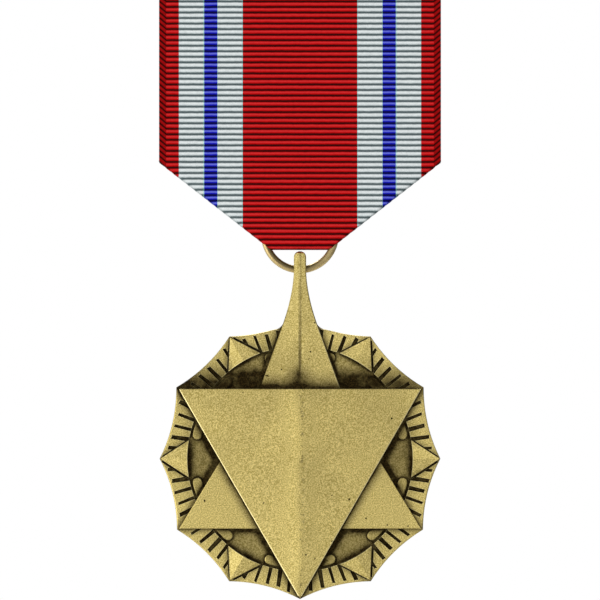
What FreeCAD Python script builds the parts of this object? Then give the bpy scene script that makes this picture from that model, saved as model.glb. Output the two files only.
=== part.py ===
import FreeCAD, Part
import math
import os
import Sketcher

# A military service medal: a struck pendant that hangs by a ring from a folded ribbon, with a
# pin brooch behind the ribbon's top. Millimetres. The medal's front faces -Y, +Z is up, and the
# origin is the middle of the garment pin.

DIMENSIONS = {
    # ribbon
    "RibbonWidth": 34.9,
    "RibbonTop": 4.6,
    "RibbonBottom": -34.7,
    "RibbonEndWidth": 7.25,
    "ShoulderRise": 10.8,
    "FrontFace": -4.05,
    "FrontInside": -3.70,
    "TailFront": -2.95,
    "TailBack": -2.60,
    "BackInside": -2.55,
    "BackFace": -2.20,
    "TailEnd": -6.2,
    "BackEnd": 3.8,
    "RingRoom": 0.12,
    # ring
    "RingPlane": -3.125,
    "RingRadius": 4.38,
    "WireRadius": 0.45,
    "RingAboveEnd": 1.95,
    "SeamGap": 0.06,
    # pendant
    "TipRadius": 17.39,
    "ScallopRadius": 18.6,
    "InnerRadius": 13.95,
    "FloorDepth": 0.95,
    "RimDepth": 1.45,
    "LandDepth": 1.3,
    "LowerDepth": 1.75,
    "UpperDepth": 2.05,
    "RidgeDepth": 2.3,
    "SpikeDepth": 1.95,
    "SpikeFoot": 5.02,
    "SpikeWaist": 2.31,
    "WaistHeight": 16.17,
    "SpikeNeck": 0.86,
    "SpikeTop": 0.73,
    "TopRise": 1.5,
    "TopRound": 0.9,
    "SpikeBend": 27,
    "BackToRing": 0.95,
    "EyeHeight": 23.42,
    "EyeRadius": 0.6,
    "CrownRadius": 2.2,
    "LandInner": 12.1,
    "LandOuter": 13.7,
    "LandHalfAngle": 19,
    "PointHalfAngle": 9.7,
    "PointRise": 0.35,
    # brooch
    "BarWidth": 34.0,
    "BarTop": 4.25,
    "BarBottom": -4.6,
    "PlateWidth": 31.0,
    "PlateTop": 3.9,
    "PlateBottom": -3.9,
    "PlateBack": -1.6,
    "PlateThickness": 0.6,
    "PlateCorner": 1.2,
    "ProngWidth": 1.6,
    "ProngThickness": 0.5,
    "ProngAcross": 12.8,
    "ProngUp": 3.0,
    "ProngLength": 1.3,
    "SlotRoom": 0.05,
    # hinge, pin and catch
    "HingePlace": -12.4,
    "EarThickness": 0.5,
    "EarGap": 1.3,
    "EarReach": 0.95,
    "LugBase": 0.4,
    "RivetRadius": 0.4,
    "RivetHead": 0.7,
    "HeadHeight": 0.3,
    "KnuckleRadius": 0.85,
    "KnuckleHeight": 1.1,
    "KnuckleBore": 0.45,
    "TangSide": 1.0,
    "TangEnd": -10.0,
    "StemRadius": 0.45,
    "StemEnd": 8.4,
    "PointEnd": 14.2,
    "PointTip": 0.08,
    "CatchPlace": 11.4,
    "CatchLength": 2.6,
    "ShellRadius": 1.5,
    "ShellBore": 1.06,
    "ShellOpening": 84,
    "LockRadius": 1.0,
    "LockBore": 0.6,
    "LockSlot": 1.12,
    "TabAngle": 50,
    "TabRoot": 0.8,
    "TabReach": 2.2,
    "TabThickness": 0.55,
    "TrackStart": 30,
    "TrackEnd": 148,
    "TrackWidth": 0.7,
    # stitches
    "StitchCount": 15,
    "StitchPitch": 2.1,
    "StitchLength": 1.5,
    "StitchRadius": 0.14,
    "StitchHeight": -5.3,
}

NORTH = FreeCAD.Vector(0, 0, 1)
ALONG_X = FreeCAD.Rotation(FreeCAD.Vector(0, 1, 0), 90)
ALONG_Y = FreeCAD.Rotation(FreeCAD.Vector(1, 0, 0), -90)
# lays a sector's axis along +X and its first edge along +Y
SECTOR_TURN = FreeCAD.Rotation(
    FreeCAD.Vector(0, 1, 0), FreeCAD.Vector(0, 0, 1), FreeCAD.Vector(1, 0, 0), "ZXY"
)

doc = FreeCAD.newDocument("service_medal")


def make_sheet():
    """The driving dimensions, one row each: name, value and alias."""
    sheet = doc.addObject("Spreadsheet::Sheet", "Sizes")
    for row, (name, value) in enumerate(DIMENSIONS.items(), start=1):
        sheet.set("A%d" % row, name)
        sheet.set("B%d" % row, str(value))
        sheet.setAlias("B%d" % row, name)
    doc.recompute()
    return sheet


sheet = make_sheet()


def size(expression):
    """The value of an expression in the sheet's names."""
    found = sheet.evalExpression(expression)
    return float(getattr(found, "Value", found))


def bind(thing, **values):
    """Bind properties to expressions; Base_x and the like mean the placement's parts."""
    for name, expression in values.items():
        path = name.replace("Base_", ".Placement.Base.")
        thing.setExpression(path, expression)
    return thing


def body(label):
    made = doc.addObject("PartDesign::Body", label)
    made.Label = label
    return made


def sketch(owner, plane, offset="0"):
    """A sketch on one of the body's own origin planes, moved along its normal."""
    made = owner.newObject("Sketcher::SketchObject", owner.Name + "_sketch")
    support = [o for o in owner.Origin.OriginFeatures if o.Role == plane][0]
    made.AttachmentSupport = [(support, "")]
    made.MapMode = "FlatFace"
    made.setExpression(".AttachmentOffset.Base.z", offset)
    return made


def pin_point(made, geometry, end, place):
    """Hold one end of a line or arc at a place given by two expressions."""
    for kind, expression in zip(("DistanceX", "DistanceY"), place):
        rule = Sketcher.Constraint(kind, -1, 1, geometry, end, size(expression))
        index = made.addConstraint(rule)
        made.setExpression("Constraints[%d]" % index, expression)


def bent_edge(start, end, radius):
    """An arc from start to end; a positive radius bulges to the right of the way it runs."""
    span = end - start
    middle = (start + end) / 2
    side = FreeCAD.Vector(span.y, -span.x, 0).normalize()
    reach = math.sqrt(max(radius ** 2 - (span.Length / 2) ** 2, 0))
    rise = math.copysign(abs(radius) - reach, radius)
    return Part.Arc(start, middle + side * rise, end)


def outline(made, corners):
    """A closed outline; each corner is (x, y) or (x, y, radius of the arc to the next corner)."""
    first = made.GeometryCount
    count = len(corners)
    places = [FreeCAD.Vector(size(c[0]), size(c[1]), 0) for c in corners]
    for index, corner in enumerate(corners):
        start, end = places[index], places[(index + 1) % count]
        if len(corner) == 2:
            made.addGeometry(Part.LineSegment(start, end), False)
            continue
        made.addGeometry(bent_edge(start, end, size(corner[2])), False)
    for index, corner in enumerate(corners):
        after = (index + 1) % count
        begin, finish = run_ends(made, first + index, places[index])
        following = run_ends(made, first + after, places[after])[0]
        joined = (first + index, finish, first + after, following)
        made.addConstraint(Sketcher.Constraint("Coincident", *joined))
        pin_point(made, first + index, begin, corner[:2])
        if len(corner) == 3:
            radius = abs(size(corner[2]))
            rule = made.addConstraint(Sketcher.Constraint("Radius", first + index, radius))
            made.setExpression("Constraints[%d]" % rule, "abs(%s)" % corner[2])
    return made


def run_ends(made, geometry, start):
    """The vertex numbers at an edge's start and end, because an arc may be stored reversed."""
    if (made.getPoint(geometry, 1) - start).Length < (made.getPoint(geometry, 2) - start).Length:
        return (1, 2)
    return (2, 1)


def disc(made, x, y, radius):
    """A circle with its centre and radius bound."""
    circle = Part.Circle(FreeCAD.Vector(size(x), size(y), 0), NORTH, size(radius))
    index = made.addGeometry(circle, False)
    pin_point(made, index, 3, (x, y))
    rule = made.addConstraint(Sketcher.Constraint("Radius", index, size(radius)))
    made.setExpression("Constraints[%d]" % rule, radius)
    return made


def block(made, x_low, x_high, y_low, y_high):
    """A rectangle."""
    return outline(made, [(x_low, y_low), (x_high, y_low), (x_high, y_high), (x_low, y_high)])


def pad(owner, profile, length, side="One side", back=False):
    made = owner.newObject("PartDesign::Pad", owner.Name + "_pad")
    made.Profile = profile
    made.SideType = side
    made.Reversed = back
    return bind(made, Length=length)


def pocket(owner, profile, length, side="One side", back=False):
    """A pocket; it raises an error if it takes nothing away."""
    doc.recompute()
    before = owner.Shape.Volume
    made = owner.newObject("PartDesign::Pocket", owner.Name + "_pocket")
    made.Profile = profile
    made.SideType = side
    made.Reversed = back
    bind(made, Length=length)
    doc.recompute()
    if not owner.Shape.Volume < before:
        raise ValueError(owner.Label + ": the pocket cuts nothing")
    return made


def around(owner, feature, count):
    """Repeat a feature around the body's Y axis."""
    made = owner.newObject("PartDesign::PolarPattern", owner.Name + "_pattern")
    made.Originals = [feature]
    axis = [o for o in owner.Origin.OriginFeatures if o.Role == "Y_Axis"][0]
    made.Axis = (axis, [""])
    made.Angle = 360
    made.Occurrences = count
    owner.Tip = made
    return made


def cylinder(radius, length, turn=None, **places):
    """A cylinder; turn lays its axis along another direction."""
    made = doc.addObject("Part::Cylinder", "cylinder")
    if turn:
        made.Placement.Rotation = turn
    return bind(made, Radius=radius, Height=length, **places)


def brick(length, width, height, **places):
    made = doc.addObject("Part::Box", "brick")
    return bind(made, Length=length, Width=width, Height=height, **places)


def fuse(label, pieces):
    made = doc.addObject("Part::MultiFuse", label)
    made.Shapes = pieces
    made.Label = label
    return made


def cut(label, base, tool):
    made = doc.addObject("Part::Cut", label)
    made.Base = base
    made.Tool = tool
    made.Label = label
    return made


def prong_blocks(made, room):
    """Four small rectangles, one for each prong."""
    for across in ("-1", "1"):
        for up in ("-1", "1"):
            middle_x = across + " * Sizes.ProngAcross"
            middle_z = up + " * Sizes.ProngUp"
            half_x = "(Sizes.ProngWidth / 2 + %s)" % room
            half_z = "(Sizes.ProngThickness / 2 + %s)" % room
            block(
                made,
                middle_x + " - " + half_x,
                middle_x + " + " + half_x,
                middle_z + " - " + half_z,
                middle_z + " + " + half_z,
            )
    return made


def make_ribbon():
    """One strip: tail behind the bar, front panel, fold through the ring, back panel."""
    made = body("ribbon")
    over_out = "(Sizes.TailBack - Sizes.FrontFace) / 2"
    over_in = "(Sizes.TailFront - Sizes.FrontInside) / 2"
    under_out = "(Sizes.BackFace - Sizes.FrontFace) / 2"
    under_in = "(Sizes.BackInside - Sizes.FrontInside) / 2"
    top = "Sizes.RibbonTop - " + over_out
    low = "Sizes.RibbonBottom + " + under_out
    strip = [
        ("Sizes.TailFront", "Sizes.TailEnd"),
        ("Sizes.TailFront", top, over_in),
        ("Sizes.FrontInside + " + over_in, top + " + " + over_in, over_in),
        ("Sizes.FrontInside", top),
        ("Sizes.FrontInside", low, under_in),
        ("Sizes.FrontInside + " + under_in, low + " - " + under_in, under_in),
        ("Sizes.BackInside", low),
        ("Sizes.BackInside", "Sizes.BackEnd"),
        ("Sizes.BackFace", "Sizes.BackEnd"),
        ("Sizes.BackFace", low, "-" + under_out),
        ("Sizes.FrontFace + " + under_out, "Sizes.RibbonBottom", "-" + under_out),
        ("Sizes.FrontFace", low),
        ("Sizes.FrontFace", top, "-" + over_out),
        ("Sizes.FrontFace + " + over_out, "Sizes.RibbonTop", "-" + over_out),
        ("Sizes.TailBack", top),
        ("Sizes.TailBack", "Sizes.TailEnd"),
    ]
    pad(made, outline(sketch(made, "YZ_Plane"), strip), "Sizes.RibbonWidth", "Symmetric")
    corners = sketch(made, "XZ_Plane")
    for hand in ("-1", "1"):
        outer = hand + " * (Sizes.RibbonWidth / 2 + 1)"
        outline(corners, [
            (outer, "Sizes.RibbonBottom - 1"),
            (hand + " * Sizes.RibbonEndWidth / 2", "Sizes.RibbonBottom - 1"),
            (hand + " * Sizes.RibbonEndWidth / 2", "Sizes.RibbonBottom"),
            (hand + " * Sizes.RibbonWidth / 2", "Sizes.RibbonBottom + Sizes.ShoulderRise"),
            (outer, "Sizes.RibbonBottom + Sizes.ShoulderRise"),
        ])
    pocket(made, corners, "20", "Symmetric")
    slots = prong_blocks(sketch(made, "XZ_Plane", "-Sizes.FrontInside"), "Sizes.SlotRoom")
    pocket(made, slots, "Sizes.BackFace - Sizes.FrontInside")
    ring_way = made.newObject("PartDesign::Groove", "ribbon_groove")
    room = sketch(made, "YZ_Plane")
    ring_centre = "Sizes.RibbonBottom + Sizes.RingAboveEnd"
    disc(room, "Sizes.RingPlane", ring_centre + " - Sizes.RingRadius", "Sizes.WireRadius + Sizes.RingRoom")
    axle = [FreeCAD.Vector(size("Sizes.RingPlane") + far, size(ring_centre), 0) for far in (0, 1)]
    index = room.addGeometry(Part.LineSegment(*axle), True)
    pin_point(room, index, 1, ("Sizes.RingPlane", ring_centre))
    pin_point(room, index, 2, ("Sizes.RingPlane + 1", ring_centre))
    ring_way.Profile = room
    ring_way.ReferenceAxis = (room, ["Axis0"])
    ring_way.Angle = 360
    return made


def make_ring():
    """The jump ring: a torus about the Y axis with a hairline joint at its top."""
    wire = doc.addObject("Part::Torus", "wire")
    wire.Placement.Rotation = ALONG_Y
    middle = "Sizes.RibbonBottom + Sizes.RingAboveEnd"
    bind(wire, Radius1="Sizes.RingRadius", Radius2="Sizes.WireRadius")
    bind(wire, Base_y="Sizes.RingPlane", Base_z=middle)
    seam = brick(
        "Sizes.SeamGap", "4 * Sizes.WireRadius", "4 * Sizes.WireRadius",
        Base_x="-Sizes.SeamGap / 2",
        Base_y="Sizes.RingPlane - 2 * Sizes.WireRadius",
        Base_z=middle + " + Sizes.RingRadius - 2 * Sizes.WireRadius",
    )
    return cut("suspension_ring", wire, seam)


def polar(radius, angle):
    """Expressions for a point at a radius and an angle in degrees."""
    return ("%s * cos(%g)" % (radius, angle), "%s * sin(%g)" % (radius, angle))


def scalloped(made):
    """The rim: twelve tips joined by shallow hollow arcs."""
    tips = [polar("Sizes.TipRadius", 30 * index) for index in range(12)]
    return outline(made, [tip + ("-Sizes.ScallopRadius",) for tip in tips])


def triangle(made, turn):
    """An equilateral triangle whose corners reach the rim."""
    return outline(made, [polar("Sizes.TipRadius", turn + 120 * index) for index in range(3)])


def spike_outline(made):
    """The tapering spike that stands in for the lower triangle's top corner."""
    bend = "-Sizes.SpikeBend"
    right = [
        ("Sizes.SpikeFoot", "Sizes.TipRadius / 2"),
        ("Sizes.SpikeWaist", "Sizes.WaistHeight", bend),
        ("Sizes.SpikeNeck", "Sizes.EyeHeight"),
        ("Sizes.SpikeTop", "Sizes.EyeHeight + Sizes.TopRise", "Sizes.TopRound"),
        ("0", "Sizes.EyeHeight + Sizes.CrownRadius", "Sizes.TopRound"),
    ]
    left = [
        ("-Sizes.SpikeTop", "Sizes.EyeHeight + Sizes.TopRise"),
        ("-Sizes.SpikeNeck", "Sizes.EyeHeight", bend),
        ("-Sizes.SpikeWaist", "Sizes.WaistHeight"),
        ("-Sizes.SpikeFoot", "Sizes.TipRadius / 2"),
    ]
    return outline(made, right + left)


def make_ray_point():
    """A ray point: a low two-sided pyramid from the inner circle to a tip, on the rim's face."""
    half = math.radians(size("Sizes.PointHalfAngle"))
    inner = size("Sizes.InnerRadius")
    rim = -size("Sizes.RimDepth")
    crest = rim - size("Sizes.PointRise")
    back = -size("Sizes.FloorDepth")
    left = FreeCAD.Vector(inner * math.cos(half), back, inner * math.sin(half))
    right = FreeCAD.Vector(left.x, back, -left.z)
    tip = FreeCAD.Vector(size("Sizes.TipRadius") - 0.25, back, 0)
    up = FreeCAD.Vector(0, rim - back, 0)
    ridge = FreeCAD.Vector(left.x, crest, 0)
    left_top, right_top, tip_top = left + up, right + up, tip + up
    faces = [
        (left, right, tip),
        (left, right, right_top, ridge, left_top),
        (left, tip, tip_top, left_top),
        (right, tip, tip_top, right_top),
        (left_top, ridge, tip_top),
        (right_top, ridge, tip_top),
    ]
    shell = Part.makeShell([Part.Face(Part.makePolygon(list(f) + [f[0]])) for f in faces])
    solid = Part.makeSolid(shell)
    if solid.Volume < 0:
        solid.reverse()
    return solid


def make_ray_points():
    """Six ray points, between the hexagram's tips."""
    point = make_ray_point()
    shapes = []
    for index in range(6):
        copy = point.copy()
        copy.rotate(FreeCAD.Vector(), FreeCAD.Vector(0, 1, 0), 60 * index)
        shapes.append(copy)
    made = doc.addObject("Part::Feature", "ray_points")
    made.Shape = Part.Compound(shapes)
    return made


def make_pendant_plate():
    """The struck plate: rim, floor, lands, two triangles and the spike, all from a flat back."""
    made = body("pendant_plate")
    pad(made, scalloped(sketch(made, "XZ_Plane")), "Sizes.FloorDepth")
    rim = disc(scalloped(sketch(made, "XZ_Plane")), "0", "0", "Sizes.InnerRadius")
    pad(made, rim, "Sizes.RimDepth")
    low, high = "90 - Sizes.LandHalfAngle", "90 + Sizes.LandHalfAngle"
    land = outline(sketch(made, "XZ_Plane"), [
        ("Sizes.LandInner * cos(%s)" % low, "Sizes.LandInner * sin(%s)" % low),
        ("Sizes.LandOuter * cos(%s)" % low, "Sizes.LandOuter * sin(%s)" % low, "Sizes.LandOuter"),
        ("Sizes.LandOuter * cos(%s)" % high, "Sizes.LandOuter * sin(%s)" % high),
        ("Sizes.LandInner * cos(%s)" % high, "Sizes.LandInner * sin(%s)" % high, "-Sizes.LandInner"),
    ])
    land_pad = pad(made, land, "Sizes.LandDepth")
    around(made, land_pad, 6)
    pad(made, spike_outline(sketch(made, "XZ_Plane")), "Sizes.SpikeDepth")
    lower = outline(sketch(made, "XZ_Plane"), [
        ("-Sizes.SpikeFoot", "Sizes.TipRadius / 2"),
        polar("Sizes.TipRadius", 210),
        polar("Sizes.TipRadius", 330),
        ("Sizes.SpikeFoot", "Sizes.TipRadius / 2"),
    ])
    pad(made, lower, "Sizes.LowerDepth")
    pad(made, triangle(sketch(made, "XZ_Plane"), 30), "Sizes.RidgeDepth")
    above_roof = outline(sketch(made, "XY_Plane"), [
        ("-Sizes.TipRadius", "-Sizes.UpperDepth"),
        ("0", "-Sizes.RidgeDepth"),
        ("Sizes.TipRadius", "-Sizes.UpperDepth"),
        ("Sizes.TipRadius", "-Sizes.RidgeDepth - 1"),
        ("-Sizes.TipRadius", "-Sizes.RidgeDepth - 1"),
    ])
    pocket(made, above_roof, "4 * Sizes.TipRadius", "Symmetric")
    crown = sketch(made, "YZ_Plane")
    outline(crown, [
        ("-Sizes.BackToRing - Sizes.CrownRadius", "Sizes.EyeHeight"),
        ("-Sizes.BackToRing - Sizes.CrownRadius", "Sizes.EyeHeight + Sizes.CrownRadius + 1"),
        ("-Sizes.BackToRing + Sizes.CrownRadius", "Sizes.EyeHeight + Sizes.CrownRadius + 1"),
        ("-Sizes.BackToRing + Sizes.CrownRadius", "Sizes.EyeHeight", "Sizes.CrownRadius"),
        ("-Sizes.BackToRing", "Sizes.EyeHeight + Sizes.CrownRadius", "Sizes.CrownRadius"),
    ])
    pocket(made, crown, "6", "Symmetric")
    eye = disc(sketch(made, "YZ_Plane"), "-Sizes.BackToRing", "Sizes.EyeHeight", "Sizes.EyeRadius")
    pocket(made, eye, "6", "Symmetric")
    return made


def make_pendant():
    """The pendant hangs with its eye around the lowest wire of the ring."""
    made = fuse("pendant", [make_pendant_plate(), make_ray_points()])
    middle = "Sizes.RibbonBottom + Sizes.RingAboveEnd - Sizes.RingRadius - Sizes.EyeHeight"
    return bind(made, Base_y="Sizes.RingPlane + Sizes.BackToRing", Base_z=middle)


def make_core_bar():
    """The flat bar in the ribbon's top fold, with rounded edges and four prong slots."""
    made = body("core_bar")
    half = "(Sizes.TailFront - Sizes.FrontInside) / 2"
    middle = "Sizes.FrontInside + " + half
    section = [
        ("Sizes.TailFront", "Sizes.BarBottom + " + half),
        ("Sizes.TailFront", "Sizes.BarTop - " + half, half),
        (middle, "Sizes.BarTop", half),
        ("Sizes.FrontInside", "Sizes.BarTop - " + half),
        ("Sizes.FrontInside", "Sizes.BarBottom + " + half, half),
        (middle, "Sizes.BarBottom", half),
    ]
    pad(made, outline(sketch(made, "YZ_Plane"), section), "Sizes.BarWidth", "Symmetric")
    slots = prong_blocks(sketch(made, "XZ_Plane"), "Sizes.SlotRoom")
    pocket(made, slots, "20", "Symmetric")
    return made


def make_pin_plate():
    """The back plate with rounded corners, and four prongs that reach into the core bar."""
    made = body("pin_plate")
    front = "-Sizes.PlateBack"
    face = sketch(made, "XZ_Plane", front)
    half = "Sizes.PlateWidth / 2"
    soft = "Sizes.PlateCorner"
    outline(face, [
        ("-%s + %s" % (half, soft), "Sizes.PlateBottom"),
        ("%s - %s" % (half, soft), "Sizes.PlateBottom", soft),
        (half, "Sizes.PlateBottom + " + soft),
        (half, "Sizes.PlateTop - " + soft, soft),
        ("%s - %s" % (half, soft), "Sizes.PlateTop"),
        ("-%s + %s" % (half, soft), "Sizes.PlateTop", soft),
        ("-" + half, "Sizes.PlateTop - " + soft),
        ("-" + half, "Sizes.PlateBottom + " + soft, soft),
    ])
    pad(made, face, "Sizes.PlateThickness")
    prongs = prong_blocks(sketch(made, "XZ_Plane", front), "0")
    pad(made, prongs, "Sizes.PlateThickness + Sizes.ProngLength")
    return made


def make_hinge_lug():
    """A U bracket soldered to the plate: a base and two round-ended ears."""
    made = body("hinge_lug")
    inner = "Sizes.EarGap / 2"
    outer = "(Sizes.EarGap / 2 + Sizes.EarThickness)"
    floor = "Sizes.PlateBack + Sizes.LugBase"
    section = sketch(made, "YZ_Plane", "Sizes.HingePlace")
    outline(section, [
        ("Sizes.PlateBack", "-" + outer),
        ("Sizes.EarReach", "-" + outer),
        ("Sizes.EarReach", "-" + inner),
        (floor, "-" + inner),
        (floor, inner),
        ("Sizes.EarReach", inner),
        ("Sizes.EarReach", outer),
        ("Sizes.PlateBack", outer),
    ])
    pad(made, section, "2 * Sizes.EarReach", "Symmetric")
    ends = sketch(made, "XY_Plane")
    for hand in (-1, 1):
        edge = "Sizes.HingePlace + %d * Sizes.EarReach" % hand
        bulge = "%d * Sizes.EarReach" % -hand
        outline(ends, [
            (edge, "0"),
            (edge, "Sizes.EarReach"),
            ("Sizes.HingePlace", "Sizes.EarReach", bulge),
        ])
    pocket(made, ends, "8", "Symmetric")
    hole = disc(sketch(made, "XY_Plane"), "Sizes.HingePlace", "0", "Sizes.RivetRadius")
    pocket(made, hole, "8", "Symmetric")
    return made


def make_hinge_rivet():
    """The rivet through both ears, with a head at each end."""
    outer = "(Sizes.EarGap / 2 + Sizes.EarThickness)"
    shank = cylinder(
        "Sizes.RivetRadius", "2 * %s" % outer,
        Base_x="Sizes.HingePlace", Base_z="-" + outer,
    )
    heads = [
        cylinder("Sizes.RivetHead", "Sizes.HeadHeight", Base_x="Sizes.HingePlace", Base_z=outer),
        cylinder(
            "Sizes.RivetHead", "Sizes.HeadHeight",
            Base_x="Sizes.HingePlace", Base_z="-%s - Sizes.HeadHeight" % outer,
        ),
    ]
    return fuse("hinge_rivet", [shank] + heads)


def make_pin_stem():
    """The garment pin: a flat knuckle, a square tang, a straight stem and a long point."""
    knuckle = cylinder(
        "Sizes.KnuckleRadius", "Sizes.KnuckleHeight",
        Base_x="Sizes.HingePlace", Base_z="-Sizes.KnuckleHeight / 2",
    )
    tang = brick(
        "Sizes.TangEnd - Sizes.HingePlace", "Sizes.TangSide", "Sizes.TangSide",
        Base_x="Sizes.HingePlace", Base_y="-Sizes.TangSide / 2", Base_z="-Sizes.TangSide / 2",
    )
    stem = cylinder("Sizes.StemRadius", "Sizes.StemEnd - Sizes.TangEnd", ALONG_X)
    bind(stem, Base_x="Sizes.TangEnd")
    point = doc.addObject("Part::Cone", "point")
    point.Placement.Rotation = ALONG_X
    bind(point, Radius1="Sizes.StemRadius", Radius2="Sizes.PointTip")
    bind(point, Height="Sizes.PointEnd - Sizes.StemEnd", Base_x="Sizes.StemEnd")
    bore = cylinder(
        "Sizes.KnuckleBore", "2 * Sizes.KnuckleHeight",
        Base_x="Sizes.HingePlace", Base_z="-Sizes.KnuckleHeight",
    )
    return cut("pin_stem", fuse("pin_blank", [knuckle, tang, stem, point]), bore)


def sector(radius, length, start, end):
    """A round sector about the X axis, its angles measured from +Y towards +Z."""
    made = doc.addObject("Part::Cylinder", "sector")
    lead = FreeCAD.Rotation(FreeCAD.Vector(1, 0, 0), size(start))
    made.Placement.Rotation = lead * SECTOR_TURN
    return bind(
        made, Radius=radius, Height=length, Angle="%s - (%s)" % (end, start),
        Base_x="Sizes.CatchPlace - (%s) / 2" % length,
    )


def make_catch_body():
    """The catch: a C-shaped shell open to the back, on a foot, with a track for the lock's tab."""
    opening = "Sizes.ShellOpening / 2"
    shell = sector("Sizes.ShellRadius", "Sizes.CatchLength", opening, "360 - " + opening)
    foot = brick(
        "Sizes.CatchLength", "-Sizes.PlateBack", "2 * Sizes.ShellBore",
        Base_x="Sizes.CatchPlace - Sizes.CatchLength / 2",
        Base_y="Sizes.PlateBack", Base_z="-Sizes.ShellBore",
    )
    bore = cylinder("Sizes.ShellBore", "2 * Sizes.CatchLength", ALONG_X)
    bind(bore, Base_x="Sizes.CatchPlace - Sizes.CatchLength")
    track = sector("2 * Sizes.ShellRadius", "Sizes.TrackWidth", "Sizes.TrackStart", "Sizes.TrackEnd")
    hollow = cut("catch_hollow", fuse("catch_blank", [shell, foot]), bore)
    return cut("catch_body", hollow, track)


def make_catch_lock():
    """The lock: a sleeve with a slot that faces the opening at rest, and a thumb tab."""
    barrel = cylinder("Sizes.LockRadius", "Sizes.CatchLength", ALONG_X)
    bind(barrel, Base_x="Sizes.CatchPlace - Sizes.CatchLength / 2")
    bore = cylinder("Sizes.LockBore", "2 * Sizes.CatchLength", ALONG_X)
    bind(bore, Base_x="Sizes.CatchPlace - Sizes.CatchLength")
    slot = brick(
        "2 * Sizes.CatchLength", "2 * Sizes.LockRadius", "Sizes.LockSlot",
        Base_x="Sizes.CatchPlace - Sizes.CatchLength", Base_z="-Sizes.LockSlot / 2",
    )
    aside = "Sizes.TabThickness / 2"
    tab = brick(
        "Sizes.TabThickness", "Sizes.TabReach - Sizes.TabRoot", "Sizes.TabThickness",
        Base_x="Sizes.CatchPlace - " + aside,
        Base_y="Sizes.TabRoot * cos(Sizes.TabAngle) + %s * sin(Sizes.TabAngle)" % aside,
        Base_z="Sizes.TabRoot * sin(Sizes.TabAngle) - %s * cos(Sizes.TabAngle)" % aside,
    )
    tab.Placement.Rotation = FreeCAD.Rotation(FreeCAD.Vector(1, 0, 0), size("Sizes.TabAngle"))
    sleeve = cut("lock_sleeve", barrel, fuse("lock_hollow", [bore, slot]))
    return fuse("catch_lock", [sleeve, tab])


def make_stitches():
    """A row of thread stitches, each a half-round bar lying on the ribbon's back."""
    row = []
    for index in range(int(size("Sizes.StitchCount"))):
        stitch = cylinder("Sizes.StitchRadius", "Sizes.StitchLength")
        stitch.Placement.Rotation = ALONG_X
        stitch.Angle = 180
        middle = "(%d - (Sizes.StitchCount - 1) / 2) * Sizes.StitchPitch" % index
        bind(
            stitch,
            Base_x="%s - Sizes.StitchLength / 2" % middle,
            Base_y="Sizes.BackFace", Base_z="Sizes.StitchHeight",
        )
        row.append(stitch)
    made = doc.addObject("Part::Compound", "ribbon_stitches")
    made.Links = row
    made.Label = "ribbon_stitches"
    return made


def check(parts):
    """Stop unless every object has worked and every sub-part is a valid solid."""
    doc.recompute()
    for thing in doc.Objects:
        if "Invalid" in thing.State or "Error" in thing.State:
            raise RuntimeError("%s failed: %s" % (thing.Label, thing.State))
    for part in parts:
        if part.Shape.isNull() or not part.Shape.isValid():
            raise RuntimeError(part.Label + " has no valid shape")


def write(parts):
    os.makedirs("parts", exist_ok=True)
    for part in parts:
        part.Shape.exportStep("parts/%s.step" % part.Label)
        box = part.Shape.BoundBox
        corners = (box.XMin, box.XMax, box.YMin, box.YMax, box.ZMin, box.ZMax)
        numbers = " ".join("%.2f" % value for value in corners)
        print(part.Label, len(part.Shape.Solids), "%.2f mm3" % part.Shape.Volume, numbers)


parts = [
    make_ribbon(),
    make_ring(),
    make_pendant(),
    make_core_bar(),
    make_pin_plate(),
    make_hinge_lug(),
    make_hinge_rivet(),
    make_pin_stem(),
    make_catch_body(),
    make_catch_lock(),
    make_stitches(),
]
check(parts)
write(parts)
pendant = parts[2].Shape.CenterOfGravity
print("pendant's centre of mass behind the ring's plane: %.3f mm" % (pendant.y - size("Sizes.RingPlane")))
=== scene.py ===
# %% [markdown]
# # A military service medal
# The medal is a struck bronze star on a folded, striped ribbon, with a pin brooch behind. This
# lesson starts from the engineer's model, which fixes every size and hinge, and gives each piece
# its true surface. The frame tells where each piece is, so nothing has to be placed by eye.

# %% Load the engineer's model
import math
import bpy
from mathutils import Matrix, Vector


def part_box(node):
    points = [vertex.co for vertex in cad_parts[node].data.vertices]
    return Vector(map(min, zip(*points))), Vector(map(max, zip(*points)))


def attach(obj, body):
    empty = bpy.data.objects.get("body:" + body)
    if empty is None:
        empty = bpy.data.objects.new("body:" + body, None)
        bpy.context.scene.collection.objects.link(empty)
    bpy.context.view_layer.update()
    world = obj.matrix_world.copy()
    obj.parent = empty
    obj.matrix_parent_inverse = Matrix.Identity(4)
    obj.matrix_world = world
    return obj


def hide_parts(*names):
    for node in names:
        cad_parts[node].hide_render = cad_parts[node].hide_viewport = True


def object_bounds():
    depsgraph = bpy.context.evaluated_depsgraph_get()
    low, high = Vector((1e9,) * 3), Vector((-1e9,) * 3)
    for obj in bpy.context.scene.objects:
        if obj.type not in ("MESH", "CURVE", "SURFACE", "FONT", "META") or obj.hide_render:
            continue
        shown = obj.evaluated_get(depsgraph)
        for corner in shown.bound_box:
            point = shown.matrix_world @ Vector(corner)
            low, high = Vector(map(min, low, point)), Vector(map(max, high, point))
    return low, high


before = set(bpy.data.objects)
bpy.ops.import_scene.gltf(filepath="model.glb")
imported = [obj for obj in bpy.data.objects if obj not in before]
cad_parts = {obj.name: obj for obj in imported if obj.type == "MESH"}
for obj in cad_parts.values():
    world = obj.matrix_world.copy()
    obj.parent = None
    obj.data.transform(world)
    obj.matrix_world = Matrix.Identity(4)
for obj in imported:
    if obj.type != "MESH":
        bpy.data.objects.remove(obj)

from types import SimpleNamespace

import bmesh
import bpy
import numpy as np
from mathutils import Matrix, Vector

MM = 0.001
cad_box = [list(corner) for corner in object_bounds()]

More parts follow.
